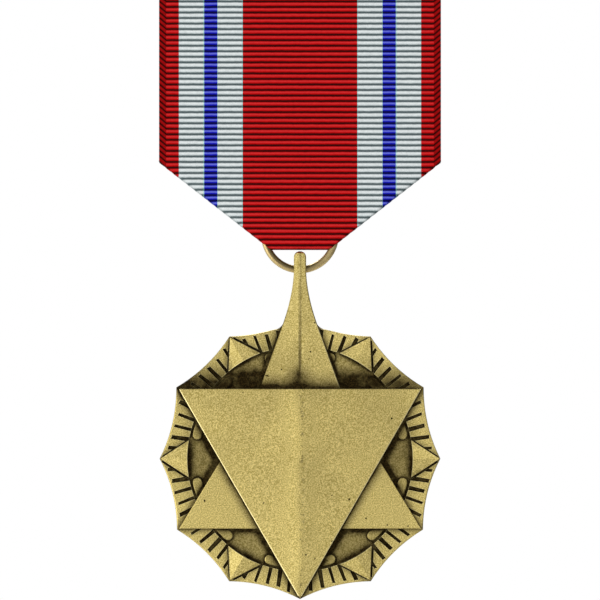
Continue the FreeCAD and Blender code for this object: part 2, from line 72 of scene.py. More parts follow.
# %% [markdown]
# ## A few helpers
# Every piece below is a mesh made from lists of points and faces. It could be made by hand in
# edit mode, but code keeps the sizes exact and lets one function serve many pieces. Shading is
# smooth where a surface turns gently and sharp where it turns hard, which is how light reads
# struck metal. Cutting and joining is left to the exact boolean modifier, applied at once.

# %% Mesh helpers
SHARP_TURN = math.radians(14)  # faces that meet at more than this get a sharp edge


def smooth_where_gentle(mesh, turn=SHARP_TURN):
    """Smooth shading, with sharp edges where two faces meet at more than the turn."""
    mesh.shade_smooth()
    mesh.set_sharp_from_angle(angle=turn)


def new_piece(name, points, faces, turn=SHARP_TURN, unit=MM):
    """A mesh object from points in millimetres and faces, its normals made to face outwards."""
    mesh = bpy.data.meshes.new(name)
    mesh.from_pydata([tuple(Vector(p) * unit) for p in points], [], faces)
    bm = bmesh.new()
    bm.from_mesh(mesh)
    bmesh.ops.recalc_face_normals(bm, faces=bm.faces)
    bm.to_mesh(mesh)
    bm.free()
    smooth_where_gentle(mesh, turn)
    piece = bpy.data.objects.new(name, mesh)
    bpy.context.scene.collection.objects.link(piece)
    return piece


def combine(piece, tool, operation):
    """Cut or join one closed mesh with another, and throw the tool away."""
    step = piece.modifiers.new("combine", "BOOLEAN")
    step.operation = operation
    step.solver = "EXACT"
    step.use_self = True
    step.object = tool
    seen = bpy.context.evaluated_depsgraph_get()
    made = bpy.data.meshes.new_from_object(piece.evaluated_get(seen))
    piece.modifiers.clear()
    old = piece.data
    piece.data = made
    bpy.data.meshes.remove(old)
    bpy.data.objects.remove(tool)
    return piece


def merge_slivers(piece, gap):
    """Merge the points that crossing cuts leave closer together than the gap."""
    bm = bmesh.new()
    bm.from_mesh(piece.data)
    bmesh.ops.remove_doubles(bm, verts=bm.verts, dist=gap)
    bmesh.ops.dissolve_degenerate(bm, edges=bm.edges, dist=gap)
    bm.to_mesh(piece.data)
    bm.free()


print("helpers ready")

# %% [markdown]
# ## The pendant's own measures
# The pendant is one piece of bronze, struck flat on the back. All of its front is relief, so it
# is easiest to describe as places on a plane plus a height above the flat back. The frame gives
# the back, the middle and the tips, and the rest are the die-sinker's sizes.

# %% Places on the pendant
TIP = 17.39  # from the middle to a tip
SCALLOP = 0.54  # how deep the edge sags between two tips
INNER = 13.95  # where the sunk floor ends and the rays begin
FLOOR = 0.95  # the sunk floor. This and the next six are heights above the flat back
LAND = 1.3  # the curved lands
RIM = 1.45  # the plate's own top
LOWER = 1.72  # the lower triangle
SPIKE = 1.95  # the spike's ridge
UPPER = 2.02  # the upper triangle away from its ridge
RIDGE = 2.3  # the upper triangle's ridge
EYE_HEIGHT = 23.42  # from the middle up to the eye
EYE_BACK = 0.95  # from the flat back to the eye's axis
CROWN = 2.29  # from the eye's axis to the metal's round end

pendant_low, pendant_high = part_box("pendant")
back_y = pendant_high[1] / MM
middle_z = pendant_low[2] / MM + TIP


def struck(x, z, height):
    """A point of the pendant: x and z from its middle, height above its flat back."""
    return Vector((x, back_y - height, middle_z + z))


def around(radius, degrees):
    """A point on a circle, as two coordinates."""
    turn = math.radians(degrees)
    return (radius * math.cos(turn), radius * math.sin(turn))


print("pendant's middle is at z = %.2f mm, its back at y = %.2f mm" % (middle_z, back_y))

# %% [markdown]
# ## Slabs and cutters
# A struck shape is a slab with softened top edges. The slab helper stacks three rings of the same
# outline: one at the foot, one just under the top, and one on top that is drawn in a little. That
# thin sloping band is the bright line that every edge of worn metal has. A bevel modifier could
# do it too, but it trips over very short edges, so the ring is worked out here.

# %% Slab helper
SLAB_EDGE = 0.1  # width of the softened band, unless a piece asks for another


def drawn_in(outline, inset):
    """The outline moved inwards by the inset, corner by corner. It runs anticlockwise."""
    made = []
    for index, here in enumerate(outline):
        here = Vector(here)
        before = (here - Vector(outline[index - 1])).normalized()
        after = (Vector(outline[(index + 1) % len(outline)]) - here).normalized()
        inward = Vector((-before.y, before.x)) + Vector((-after.y, after.x))
        share = max(inward.length_squared / 2, 0.25)
        made.append(here + inward * (inset / share))
    return made


def slab(name, outline, foot, top, edge=SLAB_EDGE):
    """A closed slab from the foot height to the top height, with a softened top edge."""
    rings = [
        (outline, foot),
        (outline, top - edge),
        (drawn_in(outline, edge * 0.3), top - edge * 0.3),
        (drawn_in(outline, edge), top),
    ]
    count = len(outline)
    points = [struck(p[0], p[1], height) for ring, height in rings for p in ring]
    faces = [list(range(count))[::-1], list(range(3 * count, 4 * count))]
    for level in range(len(rings) - 1):
        for index in range(count):
            after = (index + 1) % count
            low, high = level * count, (level + 1) * count
            faces.append([low + index, low + after, high + after, high + index])
    return new_piece(name, points, faces, unit=1)


print("a slab's top edge is softened over", SLAB_EDGE, "mm unless it says otherwise")

# %% [markdown]
# A groove is cut by taking away a long wedge. Its walls slope, as a real die's must so that the
# struck piece lets go. The slope starts at the rim's height, and above it the walls stand straight.
# All the cutters are gathered in one mesh, because one boolean with many shells is far quicker
# than many booleans.

# %% Chisel helper
CUT_TOP = 2.6  # the cutter stands up to here, clear of the metal
CUT_SLOPE = 0.1  # how far its end walls lean out
CUT_SIDES = (  # share of the width, height (None for the floor), share of the slope
    (-0.5, CUT_TOP, 1),
    (-0.5, RIM, 1),
    (-0.34, None, 0),
    (0.34, None, 0),
    (0.5, RIM, 1),
    (0.5, CUT_TOP, 1),
)


def chisel(start, end, widths, floors):
    """A long cutter with sloping sides, from start to end, with its width and floor at each end."""
    start = Vector(start)
    end = Vector(end)
    along = (end - start).normalized()
    side = Vector((-along.y, along.x))
    points = []
    for place, slide, width, floor in zip((start, end), (-CUT_SLOPE, CUT_SLOPE), widths, floors):
        for across, height, reach in CUT_SIDES:
            spot = place + side * (across * width) + along * (slide * reach)
            points.append(struck(spot.x, spot.y, floor if height is None else height))
    half = len(points) // 2
    faces = [list(range(half)), list(range(half, 2 * half))[::-1]]
    for index in range(half):
        after = (index + 1) % half
        faces.append([index, after, half + after, half + index])
    return points, faces


def many(name, parts, unit=1):
    """One object from several separate closed shells."""
    points, faces = [], []
    for part_points, part_faces in parts:
        base = len(points)
        points += part_points
        faces += [[base + corner for corner in face] for face in part_faces]
    return new_piece(name, points, faces, unit=unit)


print("a chisel cut has", 2 * len(CUT_SIDES), "points")

# %% [markdown]
# ## The scalloped plate
# Twelve tips stand near one circle and shallow hollow curves join them. At the top, the curves
# run into the spike with a small fillet on each side. It could be traced as a curve object, but a
# formula for one scallop, used twelve times, keeps the tips evenly spaced.

# %% Tips and the spike's width
SPIKE_FOOT = 5.02  # half widths of the spike: at the star's top edge,
SPIKE_WAIST = 2.31  # at the waist,
NECK = 0.76  # and at the eye
WAIST_HEIGHT = 16.17
SPREAD = (0.0, 0.15, 0.2, 0.0, 0.3, 0.1, 0.0)  # extra reach of the tips, from the lowest to the top


def tip_radius(degrees):
    """How far a tip stands out. The corners of the star spread a little in the striking."""
    from_bottom = round(degrees - 270) % 360
    return TIP + SPREAD[min(from_bottom, 360 - from_bottom) // 30]


def spike_half_width(z):
    """Half the spike's width: straight sides up to the waist, then one long hollow curve."""
    if z <= WAIST_HEIGHT:
        share = (z - TIP / 2) / (WAIST_HEIGHT - TIP / 2)
        return SPIKE_FOOT + (SPIKE_WAIST - SPIKE_FOOT) * share
    left = (EYE_HEIGHT - z) / (EYE_HEIGHT - WAIST_HEIGHT)
    return NECK + (SPIKE_WAIST - NECK) * max(left, 0) ** 1.75


print("tips stand", TIP, "to", round(TIP + max(SPREAD), 2), "mm from the middle")

# %% The plate's outline
CURVE_STEPS = 10
FILLET_FOOT = Vector((3.25, 15.98))  # on the scallop, where the fillet begins
FILLET_BEND = Vector((2.15, 16.05))  # the corner that it rounds off
FILLET_TOP = 17.6  # height where it meets the spike's side
FILLET_STEPS = 6
SPIKE_CLEAR = 3.5  # the top scallop stops this far from the middle line


def hollow_curve(start, end, depth, steps=CURVE_STEPS):
    """Points from start up to, but not at, the end, sagging towards the middle."""
    start = Vector(start)
    end = Vector(end)
    inward = -((start + end) / 2).normalized()
    made = []
    for step in range(steps):
        share = step / steps
        made.append(start.lerp(end, share) + inward * (depth * 4 * share * (1 - share)))
    return made


def fillet(hand):
    """The small hollow where a scallop runs up into the spike."""
    head = Vector((spike_half_width(FILLET_TOP) - 0.1, FILLET_TOP))
    made = []
    for step in range(FILLET_STEPS + 1):
        share = step / FILLET_STEPS
        spot = FILLET_FOOT.lerp(FILLET_BEND, share).lerp(FILLET_BEND.lerp(head, share), share)
        made.append(Vector((spot.x * hand, spot.y)))
    return made


def plate_outline():
    """The whole edge, anticlockwise from the right-hand tip."""
    points = []
    for index in range(12):
        here = 30 * index
        start = around(tip_radius(here), here)
        end = around(tip_radius(here + 30), here + 30)
        curve = hollow_curve(start, end, SCALLOP)
        if index == 2:
            curve = [p for p in curve if p.x > SPIKE_CLEAR] + fillet(1)
        if index == 3:
            curve = fillet(-1)[::-1] + [p for p in curve if p.x < -SPIKE_CLEAR]
        points += curve
    return points


outline = plate_outline()
plate = slab("struck_pendant", outline, 0.0, RIM, 0.14)
print("plate outline has", len(outline), "points")

# %% [markdown]
# The floor inside the ring of rays is sunk, and the rays are what is left between short chiselled
# grooves. A die-sinker cuts each by hand, so their lengths, headings and widths wander a little.
# Sine waves give that wander, and give it the same way every time. Each ray point has a groove down
# either side, deeper on the side that the tool leaned to.

# %% Sink the floor
def disc_points(radius, count):
    """Evenly spaced points on a circle."""
    return [around(radius, 360 * index / count) for index in range(count)]


floor_tool = slab("floor_tool", disc_points(INNER, 144), FLOOR, 4.0, 0.01)
combine(plate, floor_tool, "DIFFERENCE")
print("floor sunk by", round(RIM - FLOOR, 2), "mm")

# %% Cut the rays
RAY_STEP = 5  # degrees from one groove to the next
GROOVE = 0.52  # a groove's usual width
GROOVE_FLOORS = (0.98, 1.12)  # its floor at the inner and the outer end
EDGE_LEFT = 0.3  # metal left between a groove and the plate's edge
DEEP_SIDE = (0.56, (1.1, 0.95))  # width and floors beside a ray point
SHALLOW_SIDE = (0.32, (1.25, 1.15))


def edge_radius(degrees):
    """How far the scalloped edge is from the middle at this angle."""
    curve = hollow_curve(around(TIP, 0), around(TIP, 30), SCALLOP, 60)
    off = [abs(math.degrees(math.atan2(p.y, p.x)) - degrees % 30) for p in curve]
    return curve[off.index(min(off))].length


ray_cuts = []
for degrees in range(0, 360, RAY_STEP):
    if degrees % 30 == 0:
        continue
    reach = edge_radius(degrees) - EDGE_LEFT - 0.1 * math.sin(degrees * 1.7)
    drift = degrees + 0.35 * math.sin(degrees * 2.3)
    width = GROOVE * (1 + 0.2 * math.sin(degrees * 0.9))
    inner_end = around(INNER - 0.5, degrees)
    outer_end = around(reach, drift)
    ray_cuts.append(chisel(inner_end, outer_end, (width, width * 0.8), GROOVE_FLOORS))
for index in range(6):
    for hand in (-1, 1):
        deep = hand == (1 if 180 <= 60 * index < 360 else -1)
        width, floors = DEEP_SIDE if deep else SHALLOW_SIDE
        tip = around(TIP - 0.4, 60 * index + hand * 0.9)
        heel = around(INNER - 0.3, 60 * index + hand * 10.8)
        ray_cuts.append(chisel(tip, heel, (width * 0.8, width), floors))
combine(plate, many("rays", ray_cuts), "DIFFERENCE")
print("plate after cutting:", len(plate.data.polygons), "faces")

# %% [markdown]
# ## Lands and ray points
# Between the floor and the rays lie six curved lands, each centred on a corner of the star. Their
# rounded ends show as small lugs. Six low pyramids point outwards between them. Their two
# facets tilt to either side, so one is always lighter than the other. Both are made as closed
# shells that reach down into the plate and are then joined to it, so no wall is left inside.

# %% Lands
LAND_IN = 12.45  # inner and outer radius
LAND_OUT = 13.66
LAND_HALF = 19.6  # half a land's length, in degrees
LAND_STEPS = 14


def end_cap(middle, radius, heading):
    """Points of a half circle, from the outer side to the inner side of a land's end."""
    made = []
    for step in range(1, 6):
        x, z = around(radius, heading + 30 * step)
        made.append((middle[0] + x, middle[1] + z))
    return made


def land_outline(degrees):
    """A curved bar with round ends."""
    mid = (LAND_IN + LAND_OUT) / 2
    cap = (LAND_OUT - LAND_IN) / 2
    cap_turn = math.degrees(cap / mid)
    low, high = degrees - LAND_HALF + cap_turn, degrees + LAND_HALF - cap_turn
    sweep = [low + (high - low) * step / LAND_STEPS for step in range(LAND_STEPS + 1)]
    outer = [around(LAND_OUT, turn) for turn in sweep]
    inner = [around(LAND_IN, turn) for turn in reversed(sweep)]
    far = end_cap(around(mid, high), cap, high)
    near = end_cap(around(mid, low), cap, low + 180)
    return [Vector(p) for p in outer + far + inner + near]


for index in range(6):
    combine(plate, slab("land", land_outline(30 + 60 * index), 0.6, LAND, 0.14), "UNION")
print("plate with lands:", len(plate.data.polygons), "faces")

# %% Ray points
POINT_HALF = 9.5  # half a ray point's heel, in degrees
POINT_CREST = 1.80  # height of the ridge at the heel
POINT_EDGE = 1.48  # height of the tip and the sides


def ray_point(degrees):
    """A low pyramid: a ridge from the tip to the middle of its heel."""
    tip = around(tip_radius(degrees) - 0.12, degrees)
    heel = [around(INNER + 0.03, degrees + POINT_HALF * step / 3) for step in range(-3, 4)]
    rise = [1 - abs(step) / 3 for step in range(-3, 4)]
    crest = POINT_CREST - POINT_EDGE
    feet = [tip] + heel
    points = [struck(x, z, 0.5) for x, z in feet]
    points.append(struck(tip[0], tip[1], POINT_EDGE))
    points += [struck(x, z, POINT_EDGE + crest * share) for (x, z), share in zip(heel, rise)]
    count = len(feet)
    faces = [list(range(count))[::-1]]
    for index in range(count):
        after = (index + 1) % count
        faces.append([index, after, count + after, count + index])
    faces.append([count] + [count + 1 + step for step in range(0, 4)])
    faces.append([count] + [count + 1 + step for step in range(3, 7)])
    return points, faces


combine(plate, many("ray_points", [ray_point(60 * index) for index in range(6)]), "UNION")
print("plate with lands and points:", len(plate.data.polygons), "faces")

# %% [markdown]
# ## The star and the spike
# The star is two crossed triangles. The lower one shows only its two bottom corners, because the
# tall spike takes the place of its top. The upper one has a soft ridge down its middle: its faces
# hollow gently away from it, so a fine change of tilt carries the light. A flat triangle would
# look like card, so its top is a fine grid whose heights follow a formula.

# %% The roof of the upper triangle
ROWS = 44
HALF_COLUMNS = 16
TRIANGLE_TOP = TIP / 2
TRIANGLE_SIDE = TIP * math.cos(math.radians(30))
SOFTEN = 0.13  # width of the softened edge
BLUNT = 0.5  # how much the lowest corner is blunted
RIDGE_SPREAD = 1.9  # how far from the ridge its faces hollow out


def roof_height(x, z):
    """Height of the upper triangle: a soft wandering ridge on gently uneven metal."""
    wander = 0.22 * math.sin(0.52 * z + 0.6) + 0.1 * math.sin(1.31 * z)
    away = math.hypot(x - wander, 0.3) - 0.3
    ridge = (RIDGE - UPPER - 0.03) * math.exp(-away / RIDGE_SPREAD)
    uneven = 0.012 * math.sin(0.71 * x + 0.4 * z) + 0.010 * math.sin(0.37 * x - 0.83 * z + 1.9)
    return UPPER + ridge + uneven


def triangle_top():
    """The grid of the top face, and its border walked once round."""
    low_end = -TIP + BLUNT
    points, faces = [], []
    for row in range(ROWS + 1):
        z = TRIANGLE_TOP - SOFTEN - (TRIANGLE_TOP - SOFTEN - low_end) * row / ROWS
        half = TRIANGLE_SIDE * (z + TIP) / (TRIANGLE_TOP + TIP) - SOFTEN * 1.15
        for column in range(-HALF_COLUMNS, HALF_COLUMNS + 1):
            share = column / HALF_COLUMNS
            x = half * math.copysign(abs(share) ** 1.35, share)
            points.append(struck(x, z, roof_height(x, z)))
    width = 2 * HALF_COLUMNS + 1
    for row in range(ROWS):
        for column in range(width - 1):
            corner = row * width + column
            faces.append([corner, corner + 1, corner + width + 1, corner + width])
    edge_loop = list(range(width))
    edge_loop += [row * width + width - 1 for row in range(1, ROWS + 1)]
    edge_loop += [ROWS * width + column for column in range(width - 2, -1, -1)]
    edge_loop += [row * width for row in range(ROWS - 1, 0, -1)]
    return points, faces, edge_loop


print("the ridge stands", round(roof_height(0, 0) - roof_height(9, 0), 2), "mm above the faces")

# %% [markdown]
# The roof needs walls. The border is copied outwards and down three times: twice for the softened
# edge, and once straight down into the plate. At a corner the way out is the sum of both sides'
# ways out, which keeps the edge as wide there as anywhere else.

# %% The walls of the upper triangle
def outward(x, z):
    """The way out of the triangle from a point on its edge, longer at its corners."""
    side = Vector((math.cos(math.radians(30)), -math.sin(math.radians(30))))
    gap_top = TRIANGLE_TOP - z
    gap_right = TIP / 2 - Vector((x, z)).dot(side)
    gap_left = TIP / 2 - Vector((-x, z)).dot(side)
    near = min(gap_top, gap_right, gap_left) + 0.06
    push = Vector((0, 0))
    if gap_top < near:
        push += Vector((0, 1))
    if gap_right < near:
        push += side
    if gap_left < near:
        push += Vector((-side.x, side.y))
    return push


def upper_triangle():
    """The top face, its softened edge and its walls, closed underneath."""
    points, faces, edge_loop = triangle_top()
    middle = struck(0, 0, 0)
    rings = [edge_loop]
    for out, height_drop in ((SOFTEN * 0.7, 0.04), (SOFTEN, 0.13), (SOFTEN, None)):
        ring = []
        for vertex in edge_loop:
            spot = points[vertex]
            x, z, height = spot.x, spot.z - middle.z, back_y - spot.y
            push = outward(x, z)
            level = 0.7 if height_drop is None else height - height_drop
            ring.append(len(points))
            points.append(struck(x + push[0] * out, z + push[1] * out, level))
        rings.append(ring)
    for inner, outer in zip(rings, rings[1:]):
        for index in range(len(inner)):
            after = (index + 1) % len(inner)
            faces.append([inner[index], inner[after], outer[after], outer[index]])
    faces.append(rings[-1])
    return new_piece("upper_triangle", points, faces, unit=1)


triangle_tool = upper_triangle()
print("upper triangle:", len(triangle_tool.data.vertices), "points")

# %% [markdown]
# The lower triangle lies one step down. Most of it is under the upper one, so only a plain slab is
# needed, drawn in by a hair so that its corners never lie exactly on the plate's edge. Surfaces that
# lie exactly on each other are what makes a boolean fail.

# %% The lower corners
PULLED_IN = 0.08


def lower_outline():
    """The two lower corners, and the slab's other end hidden under the upper triangle."""
    left = Vector(around(TIP - PULLED_IN, 210))
    right = Vector(around(TIP - PULLED_IN, 330))
    top = TRIANGLE_TOP - 1.0
    return [left, right, Vector((SPIKE_FOOT, top)), Vector((-SPIKE_FOOT, top))]


lower_tool = slab("lower_corners", lower_outline(), 0.7, LOWER, 0.12)
print("lower corners span", round(2 * lower_outline()[1].x, 2), "mm")

# %% [markdown]
# The spike narrows in a long hollow curve to a round-ended eye. It is a stack of cross-sections,
# like the frames of a boat: each has a flat back, upright sides, soft shoulders and a ridge. A
# curve with a taper could give the outline, but not the ridge and the round end together.

# %% The spike's cross-sections
SUNK = 0.015  # the spike's back is this far inside the plate's, so that they never coincide
ROUNDING = 0.75  # the eye's end is rounded off over this height


def spike_section(z):
    """Nine points of one cross-section, from the left foot over the ridge to the right foot."""
    half = spike_half_width(z)
    lift = SPIKE
    sink = SUNK
    crown_start = EYE_HEIGHT + CROWN - ROUNDING
    if z > EYE_HEIGHT:
        reach = math.sqrt(max(CROWN ** 2 - (z - EYE_HEIGHT) ** 2, 0.01))
        lift = min(lift, EYE_BACK + reach)
        sink = max(SUNK, EYE_BACK - reach)
    if z > crown_start:
        half *= math.sqrt(max(1 - ((z - crown_start) / (ROUNDING + 0.01)) ** 2, 0.02))
    tall = max(lift - sink, 0.05)
    fall = min(0.3, 0.14 * half) * min(1, tall / 1.2)
    shoulder = min(0.12, half * 0.2, tall * 0.3)
    side = lift - fall
    return [
        (-half, sink),
        (-half, side - shoulder),
        (-half + shoulder, side),
        (-half * 0.5, side + fall * 0.42),
        (0.0, lift),
        (half * 0.5, side + fall * 0.42),
        (half - shoulder, side),
        (half, side - shoulder),
        (half, sink),
    ]


print("spike is", round(2 * spike_section(WAIST_HEIGHT)[-1][0], 2), "mm wide at its waist")

# %% Build the spike
def spike():
    """The cross-sections joined up, closer together where the outline bends."""
    top = EYE_HEIGHT + CROWN - 0.01
    stations = [7.4, TRIANGLE_TOP] + [9.5 + 0.75 * step for step in range(9)]
    stations += [WAIST_HEIGHT + 0.6 * step for step in range(1, 15)]
    stations += [24.85, 25.1, 25.3, 25.45, 25.55, top]
    points, faces = [], []
    for z in stations:
        points += [struck(x, z, height) for x, height in spike_section(z)]
    count = len(spike_section(top))
    for level in range(len(stations) - 1):
        for index in range(count):
            after = (index + 1) % count
            low, high = level * count, (level + 1) * count
            faces.append([low + index, low + after, high + after, high + index])
    faces.append(list(range(count)))
    faces.append([len(points) - count + index for index in range(count)])
    return new_piece("spike", points, faces, unit=1)


spike_tool = spike()
print("spike:", len(spike_tool.data.vertices), "points")

# %% [markdown]
# Everything is joined in millimetres, because the boolean is surest with numbers near one, and
# only then made small. The eye is drilled sideways last. Where two grooves cross, the cuts leave
# points almost on top of each other, so those are merged before the pendant is handed over.

# %% Join the star and drill the eye
EYE_DRILL = 0.6  # radius of the eye
SLIVER = 0.01  # points nearer than this are one point


def rod(name, radius, length, y, z, count=32):
    """A round rod along X, for drilling the eye."""
    points = []
    for x in (-length / 2, length / 2):
        for index in range(count):
            a, b = around(radius, 360 * index / count)
            points.append((x, y + a, z + b))
    faces = [list(range(count)), list(range(count, 2 * count))]
    for index in range(count):
        after = (index + 1) % count
        faces.append([index, after, count + after, count + index])
    return new_piece(name, points, faces, unit=1)


combine(plate, spike_tool, "UNION")
combine(plate, lower_tool, "UNION")
combine(plate, triangle_tool, "UNION")
drill = rod("drill", EYE_DRILL, 6, back_y - EYE_BACK, middle_z + EYE_HEIGHT)
combine(plate, drill, "DIFFERENCE")
pendant = plate
merge_slivers(pendant, SLIVER)
pendant.data.transform(Matrix.Scale(MM, 4))
smooth_where_gentle(pendant.data)
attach(pendant, "medal")
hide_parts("pendant")
print("pendant:", len(pendant.data.vertices), "points,", len(pendant.data.polygons), "faces")

# %% [markdown]
# ## The ring
# A jump ring is round wire bent until its ends meet. It is a tube swept round a circle, left open
# by a hair at the top, where the ribbon hides it. A torus primitive has no ends, so the sweep is
# written out, with the two ends closed by caps.

# %% The jump ring
RING_RADIUS = 4.38  # to the middle of the wire
WIRE = 0.45  # the wire's radius
SEAM = 0.03  # half the gap between the ring's ends
SEAM_TURN = math.degrees(SEAM / RING_RADIUS)
ring_low, ring_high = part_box("suspension_ring")
ring_y = (ring_low[1] + ring_high[1]) / 2 / MM
ring_z = ring_low[2] / MM + RING_RADIUS + WIRE


def jump_ring(turns=160, sides=24):
    """A round wire swept from one side of the seam to the other."""
    points, faces = [], []
    for step in range(turns + 1):
        turn = math.radians(90 + SEAM_TURN + (360 - 2 * SEAM_TURN) * step / turns)
        for side in range(sides):
            a, b = around(WIRE, 360 * side / sides)
            reach = RING_RADIUS + a
            points.append((reach * math.cos(turn), ring_y + b, ring_z + reach * math.sin(turn)))
    for step in range(turns):
        for side in range(sides):
            after = (side + 1) % sides
            low, high = step * sides, (step + 1) * sides
            faces.append([low + side, low + after, high + after, high + side])
    faces.append(list(range(sides)))
    faces.append([len(points) - sides + side for side in range(sides)])
    return new_piece("jump_ring", points, faces, math.radians(40))


ring = jump_ring()
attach(ring, "ring")
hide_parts("suspension_ring")
print("ring wire is", 2 * WIRE, "mm thick, its centre at z =", round(ring_z, 2), "mm")

# %% [markdown]
# ## The ribbon
# The ribbon is one flat strip of ribbed silk-like cloth. It starts behind the bar, goes over
# it, falls down the front, turns under through the ring and climbs the back. Its two lower
# corners are tucked inside, as in folding paper, which makes the slanting edges. A cloth
# simulation would blur those pressed folds, so the strip is bent by formula instead: first the
# path is walked in the side view, then each corner is rolled over its fold line.

# %% The strip's path in the side view
CLOTH = 0.26  # thickness at the top of a rib
HALF_WIDTH = 17.44
FLAT_HALF = 3.6  # half the narrow flat end
SHOULDER = 10.8  # how far the slanting edges rise
RIB = 0.685  # from one rib to the next
TAIL_END = -6.2  # where the strip begins, behind the bar
BACK_END = 3.8  # where it ends, under the pin plate
HANG = 1.95  # from the ring's middle down to the inside of the hairpin

ribbon_low, ribbon_high = [tuple(v / MM for v in corner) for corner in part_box("ribbon")]
front_y = ribbon_low[1] + CLOTH / 2 + 0.01
rear_y = ribbon_high[1] - CLOTH / 2 - 0.01
turn_radius = (rear_y - front_y) / 2
core_y = (rear_y + front_y) / 2
end_z = ring_z - HANG + CLOTH / 2
turn_z = end_z + turn_radius
bar_low, bar_high = [tuple(v / MM for v in corner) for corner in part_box("core_bar")]
over_radius = (bar_high[1] - bar_low[1]) / 2 + CLOTH / 2 + 0.06
over_y = front_y + over_radius
over_z = ribbon_high[2] - CLOTH / 2 - over_radius
lengths = [
    over_z - TAIL_END,
    math.pi * over_radius,
    over_z - turn_z,
    math.pi * turn_radius,
    BACK_END - turn_z,
]
strip_length = sum(lengths)


def side_path(distance):
    """Where the strip's middle is in the side view, as (y, z), after this distance."""
    tail, over, front, under, _ = lengths
    if distance < tail:
        return over_y + over_radius, TAIL_END + distance
    distance -= tail
    if distance < over:
        turn = distance / over_radius
        return over_y + over_radius * math.cos(turn), over_z + over_radius * math.sin(turn)
    distance -= over
    if distance < front:
        return front_y, over_z - distance
    distance -= front
    if distance < under:
        turn = distance / turn_radius
        return core_y - turn_radius * math.cos(turn), turn_z - turn_radius * math.sin(turn)
    return rear_y, turn_z + distance - under


print("the strip is %.1f mm long" % strip_length)

# %% [markdown]
# A corner is tucked by rolling it over a slanting line, as round a thin rod. Each point knows how far
# past the line it lies: it first goes round the rod, and what is left runs back inside. The columns of
# the grid crowd together at the line, so the roll stays round.

# %% Roll a corner over its fold line
FOLD_RADIUS = CLOTH / 2 + 0.015
FOLD_INSET = 0.02  # the fold lies this far inside the outline
ROLL_TOP = 20  # above this height over the ring nothing is folded
fold_run = HALF_WIDTH - FLAT_HALF
fold_length = math.hypot(fold_run, SHOULDER)
fold_along = (fold_run / fold_length, SHOULDER / fold_length)
fold_out = (fold_along[1], -fold_along[0])
roll_width = math.pi * FOLD_RADIUS / fold_out[0]
INSIDE_COLUMNS = 14
ROLL_COLUMNS = 5
OUTSIDE_COLUMNS = 8


def folded(x, y, z):
    """Roll a point of the flat-hanging strip over its corner's fold line."""
    hand = math.copysign(1, x)
    dx, dz = abs(x) - FLAT_HALF, z - end_z
    along = dx * fold_along[0] + dz * fold_along[1]
    past = dx * fold_out[0] + dz * fold_out[1] + FOLD_RADIUS + FOLD_INSET
    if past <= 0 or z > ring_z + ROLL_TOP:
        return x, y, z
    turn = min(past / FOLD_RADIUS, math.pi)
    out = FOLD_RADIUS * math.sin(turn) - max(past - math.pi * FOLD_RADIUS, 0)
    out -= FOLD_RADIUS + FOLD_INSET
    inside = 1 - FOLD_RADIUS * (1 - math.cos(turn)) / turn_radius
    new_x = FLAT_HALF + along * fold_along[0] + out * fold_out[0]
    new_z = end_z + along * fold_along[1] + out * fold_out[1]
    return hand * new_x, core_y + (y - core_y) * inside, new_z


def columns_at(z):
    """Where the columns stand across half the strip, close together at the fold."""
    crossing = FLAT_HALF + (z - end_z) * fold_run / SHOULDER
    crossing -= (FOLD_RADIUS + FOLD_INSET) / fold_out[0]
    start = min(max(crossing, 1.2), HALF_WIDTH - roll_width - 0.35)
    inside = [start * step / INSIDE_COLUMNS for step in range(INSIDE_COLUMNS)]
    roll = [start + roll_width * step / (ROLL_COLUMNS - 1) for step in range(ROLL_COLUMNS)]
    rest = HALF_WIDTH - roll[-1]
    outside = [roll[-1] + rest * step / OUTSIDE_COLUMNS for step in range(1, OUTSIDE_COLUMNS + 1)]
    return inside + roll + outside


print("fold lines lean", round(math.degrees(math.atan2(SHOULDER, fold_run))), "degrees from level")

# %% Weave the ribs
RIB_PHASES = (0.0, 0.13, 0.38, 0.62, 0.87)  # a groove, then four rows over the round of the rib


def strip_rows():
    """The distances of the rows: a groove, then four across the round of each rib."""
    front_end = lengths[0] + lengths[1] + lengths[2]
    shift = (front_end + 0.3) % RIB - RIB
    found = [(0.0, 0.0)]
    for rib in range(int(strip_length / RIB) + 2):
        for phase in RIB_PHASES:
            distance = shift + (rib + phase) * RIB
            if 0.05 < distance < strip_length - 0.05:
                found.append((distance, phase))
    return found + [(strip_length, 0.0)], shift


def weave_ribbon():
    """The strip's middle surface as a grid, and how far the ribs stand out from it."""
    rows, shift = strip_rows()
    middle, across, bulge = [], [], []
    for distance, phase in rows:
        y, z = side_path(distance)
        right = columns_at(z)
        xs = [-x for x in reversed(right[1:])] + right
        middle.append([folded(x, y, z) for x in xs])
        across.append([x / (2 * HALF_WIDTH) + 0.5 for x in xs])
        bulge.append(0.3 + 0.7 * math.sqrt(math.sin(math.pi * phase)))
    middle = np.array(middle)
    normal = np.cross(np.gradient(middle, axis=0), np.gradient(middle, axis=1))
    normal /= np.maximum(np.linalg.norm(normal, axis=2, keepdims=True), 1e-9)
    offset = normal * (np.array(bulge)[:, None, None] * CLOTH / 2)
    return rows, shift, middle, offset, np.array(across)


rows, shift, middle, offset, across = weave_ribbon()
print("ribbon grid:", middle.shape[0], "rows by", middle.shape[1], "columns")

# %% [markdown]
# The strip has a front and a back face, so two copies of the grid are pushed apart by the cloth's
# thickness and joined round their borders. A solidify modifier would give an even thickness, but here
# it has to swell at each rib. The place across and along the strip is saved with the mesh, because
# the dyes need it after folding.

